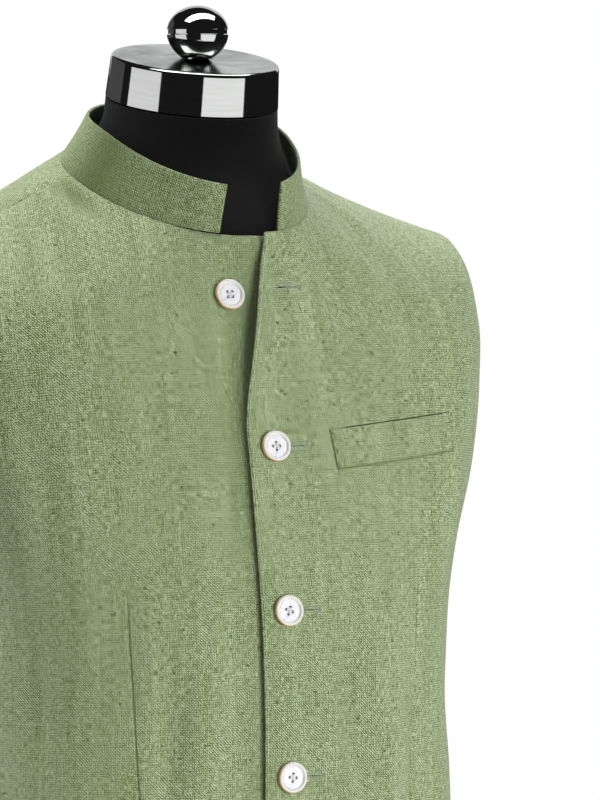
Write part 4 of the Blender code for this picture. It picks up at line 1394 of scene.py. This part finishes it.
def build_form(jersey):
    """The torso and neck of the dress form, with its foot rounded off."""
    turns = evenly(0.0, 2 * math.pi, FORM_SEGMENTS)[:-1]
    top, foot = RINGS[0].drop, FORM_FOOT_DROP - FORM_FOOT_ROUND
    drops = evenly(top, foot, round((foot - top) / FORM_STEP))
    drops += [FORM_FOOT_DROP - FORM_FOOT_ROUND * share for share in FORM_FOOT_SHARES]
    points = [form_point(drop, turn) for drop in drops for turn in turns]
    for point in points[-FORM_SEGMENTS:]:
        point.z = NECK_PIT_Z - FORM_FOOT_DROP
    faces = grid_faces(len(drops), FORM_SEGMENTS, closed=True)
    faces.append(range(FORM_SEGMENTS))
    faces.append(range(len(points) - 1, len(points) - FORM_SEGMENTS - 1, -1))
    torso = new_object("torso", points, faces, "form_torso", "jersey", jersey)
    torso.data.set_sharp_from_angle(angle=ROUND_SHARP)


def on_neck(obj, height):
    """Stands a turned piece on the neck's leaning axis, at a height above the neck's flat top."""
    top = RINGS[0]
    obj.location = Vector((0, top.side_y, NECK_PIT_Z - top.side_drop)) + NECK_AXIS * height
    obj.rotation_euler = (NECK_LEAN, 0, 0)


def build_metal(cap_metal, ball_metal, stand_metal):
    """The cap and the ball on the neck, and the stand below the form."""
    corner = (CAP_TOP_RADIUS - CAP_EDGE, CAP_HEIGHT - CAP_EDGE)
    profile = [(0, CAP_HEIGHT), (CAP_TOP_RADIUS - 2 * CAP_EDGE, CAP_HEIGHT)]
    profile += arc(corner, (CAP_EDGE, CAP_EDGE), 90, 0, CAP_EDGE_STEPS)
    profile += [(CAP_BOTTOM_RADIUS, CAP_EDGE / 2), (CAP_BOTTOM_RADIUS - CAP_EDGE / 2, 0), (0, 0)]
    on_neck(metal_object("cap_turned", profile, "neck_cap", cap_metal), SEAM_GAP)

    middle = STEM_HEIGHT + BALL_HALF_HEIGHT
    stem = -math.degrees(math.acos(BALL_FOOT_RADIUS / BALL_RADIUS))
    inner = BALL_RADIUS - BALL_GROOVE
    profile = arc((0, middle), (BALL_RADIUS, BALL_HALF_HEIGHT), 90, GROOVE_DEGREES, BALL_TOP_STEPS)
    profile += [(inner, middle + BALL_BAND), (inner, middle - BALL_BAND)]
    profile += arc((0, middle), (BALL_RADIUS, BALL_FOOT_HALF_HEIGHT), -GROOVE_DEGREES, stem, BALL_FOOT_STEPS)
    profile += [(BALL_FOOT_RADIUS, 0), (0, 0)]
    profile[0] = (0, middle + BALL_HALF_HEIGHT)
    ball = metal_object("ball_turned", profile, "finial", ball_metal)
    on_neck(ball, 2 * SEAM_GAP + CAP_HEIGHT)
    ball.location += (NECK_AXIS - Vector((0, 0, 1))) * middle
    ball.rotation_euler = (0, 0, 0)

    edge = (BASE_RADIUS - BASE_EDGE, BASE_HEIGHT - BASE_EDGE)
    profile = [(0, BASE_HEIGHT), (BASE_RADIUS - 2 * BASE_EDGE, BASE_HEIGHT)]
    profile += arc(edge, (BASE_EDGE, BASE_EDGE), 90, 0, BASE_EDGE_STEPS) + [(BASE_RADIUS, 0), (0, 0)]
    metal_object("foot_turned", profile, "stand_base", stand_metal)
    low, high = BASE_HEIGHT + SEAM_GAP, BASE_HEIGHT + POLE_LENGTH
    profile = [(0, high), (POLE_RADIUS, high), (POLE_RADIUS, low), (0, low)]
    metal_object("pole_turned", profile, "stand_pole", stand_metal, POLE_SEGMENTS)


# Room

def build_room():
    bpy.ops.mesh.primitive_circle_add(
        vertices=FLOOR_SEGMENTS, radius=FLOOR_RADIUS, fill_type="NGON", location=(0, 0, FLOOR_Z)
    )
    floor = bpy.context.object
    floor.name = "floor"
    look = Look("floor")
    color = look.ramp(look.noise(*FLOOR_CLOUD), FLOOR_COLORS)
    floor.data.materials.append(look.finished(color, FLOOR_FINISH))

    world = bpy.context.scene.world or bpy.data.worlds.new("World")
    bpy.context.scene.world = world
    world.use_nodes = True
    tree = world.node_tree
    seen = linked(tree, "ShaderNodeLightPath").outputs
    mirrored = {0: seen["Is Glossy Ray"], 2: WORLD_DIFFUSE, 3: WORLD_GLOSSY}
    other = linked(tree, "ShaderNodeMix", mirrored).outputs[0]
    strength = linked(tree, "ShaderNodeMix", {0: seen["Is Camera Ray"], 2: other, 3: WORLD_SEEN}).outputs[0]
    sky = tree.nodes["Background"]
    sky.inputs["Color"].default_value = (1.0, 1.0, 1.0, 1.0)
    tree.links.new(strength, sky.inputs["Strength"])
    bpy.context.scene.view_settings.view_transform = "Standard"


def area_light(name, place, target, width, tall, power, mirrored):
    """A rectangle of light, which either lights matt surfaces or is what gloss mirrors."""
    light = bpy.data.lights.new(name, "AREA")
    light.shape = "RECTANGLE"
    light.size = width
    light.size_y = tall
    light.energy = power
    obj = placed(name, light)
    obj.location = place
    obj.rotation_mode = "QUATERNION"
    obj.rotation_quaternion = (target - place).to_track_quat("-Z", "Y")
    obj.visible_camera = False
    obj.visible_glossy = mirrored
    obj.visible_diffuse = not mirrored


def build_lights():
    for box in SOFT_BOXES + PANELS:
        turn = math.radians(box.degrees)
        place = Vector((box.distance * math.sin(turn), -box.distance * math.cos(turn), box.height))
        level = Vector((0, 0, box.height))
        power = POWER_SHARE * box.brightness * box.width * box.tall
        area_light(box.name, place, level, box.width, box.tall, power, box in PANELS)
    over = Vector((0, TOP_LIGHT_Y, TOP_LIGHT_HEIGHT))
    neck = Vector((0, 0, NECK_PIT_Z))
    area_light("top_light", over, neck, TOP_LIGHT_SIZE, TOP_LIGHT_SIZE, TOP_LIGHT_POWER, False)
    ahead = Vector((0, TOP_PANEL_Y, TOP_LIGHT_HEIGHT))
    area_light("panel_top", ahead, Vector((0, TOP_PANEL_Y, 0)), *TOP_PANEL_SIZE, TOP_PANEL_POWER, True)


def build_camera():
    data = bpy.data.cameras.new("camera")
    data.sensor_width = SENSOR
    data.lens = SENSOR * CAMERA_DISTANCE / PICTURE_HEIGHT
    camera = placed("camera", data)
    level, rise = math.cos(CAMERA_ELEVATION), math.sin(CAMERA_ELEVATION)
    back = Vector((math.sin(CAMERA_AZIMUTH) * level, -math.cos(CAMERA_AZIMUTH) * level, rise))
    camera.location = CAMERA_TARGET + back * CAMERA_DISTANCE
    camera.rotation_mode = "QUATERNION"
    camera.rotation_quaternion = (-back).to_track_quat("-Z", "Y")
    bpy.context.scene.camera = camera


def main():
    build_room()
    build_lights()
    build_camera()
    build_form(jersey_material())
    cap = chrome_material("cap_chrome", CHROME_ROUGHNESS, CAP_HEIGHT - CAP_EDGE / 4)
    ball = chrome_material("ball_chrome", CHROME_ROUGHNESS, NO_FLAT_TOP)
    build_metal(cap, ball, chrome_material("stand_chrome", STAND_ROUGHNESS, NO_FLAT_TOP))
    # The collar's linen is the same linen darkened all over by painted shade
    build_cloth(linen_material("linen", 0.0), linen_material("linen_band_painted_shade", BAND_SHADE))
    build_buttons(shell_material(), thread_material("button_thread", BUTTON_THREAD))
    build_edge_stitches(thread_material("edge_thread", EDGE_THREAD))
    hole_thread = thread_material("hole_thread", HOLE_THREAD)
    # The painted shadow of the slits and the pocket's mouth, a dark thread look without sheen
    slit = thread_material("slit", SLIT_SHADOW, 0.0)
    first, *others = BUTTON_FALLS
    build_buttonhole(1, OPEN_HOLE_START, OPEN_HOLE_END, first - OPEN_HOLE_RAISED, hole_thread, slit)
    for number, fall in enumerate(others, start=2):
        build_buttonhole(number, HOLE_START, HOLE_END, fall, hole_thread, slit)
    build_welt_stitches(thread_material("sewing_thread", SEWING_THREAD), slit)


main()
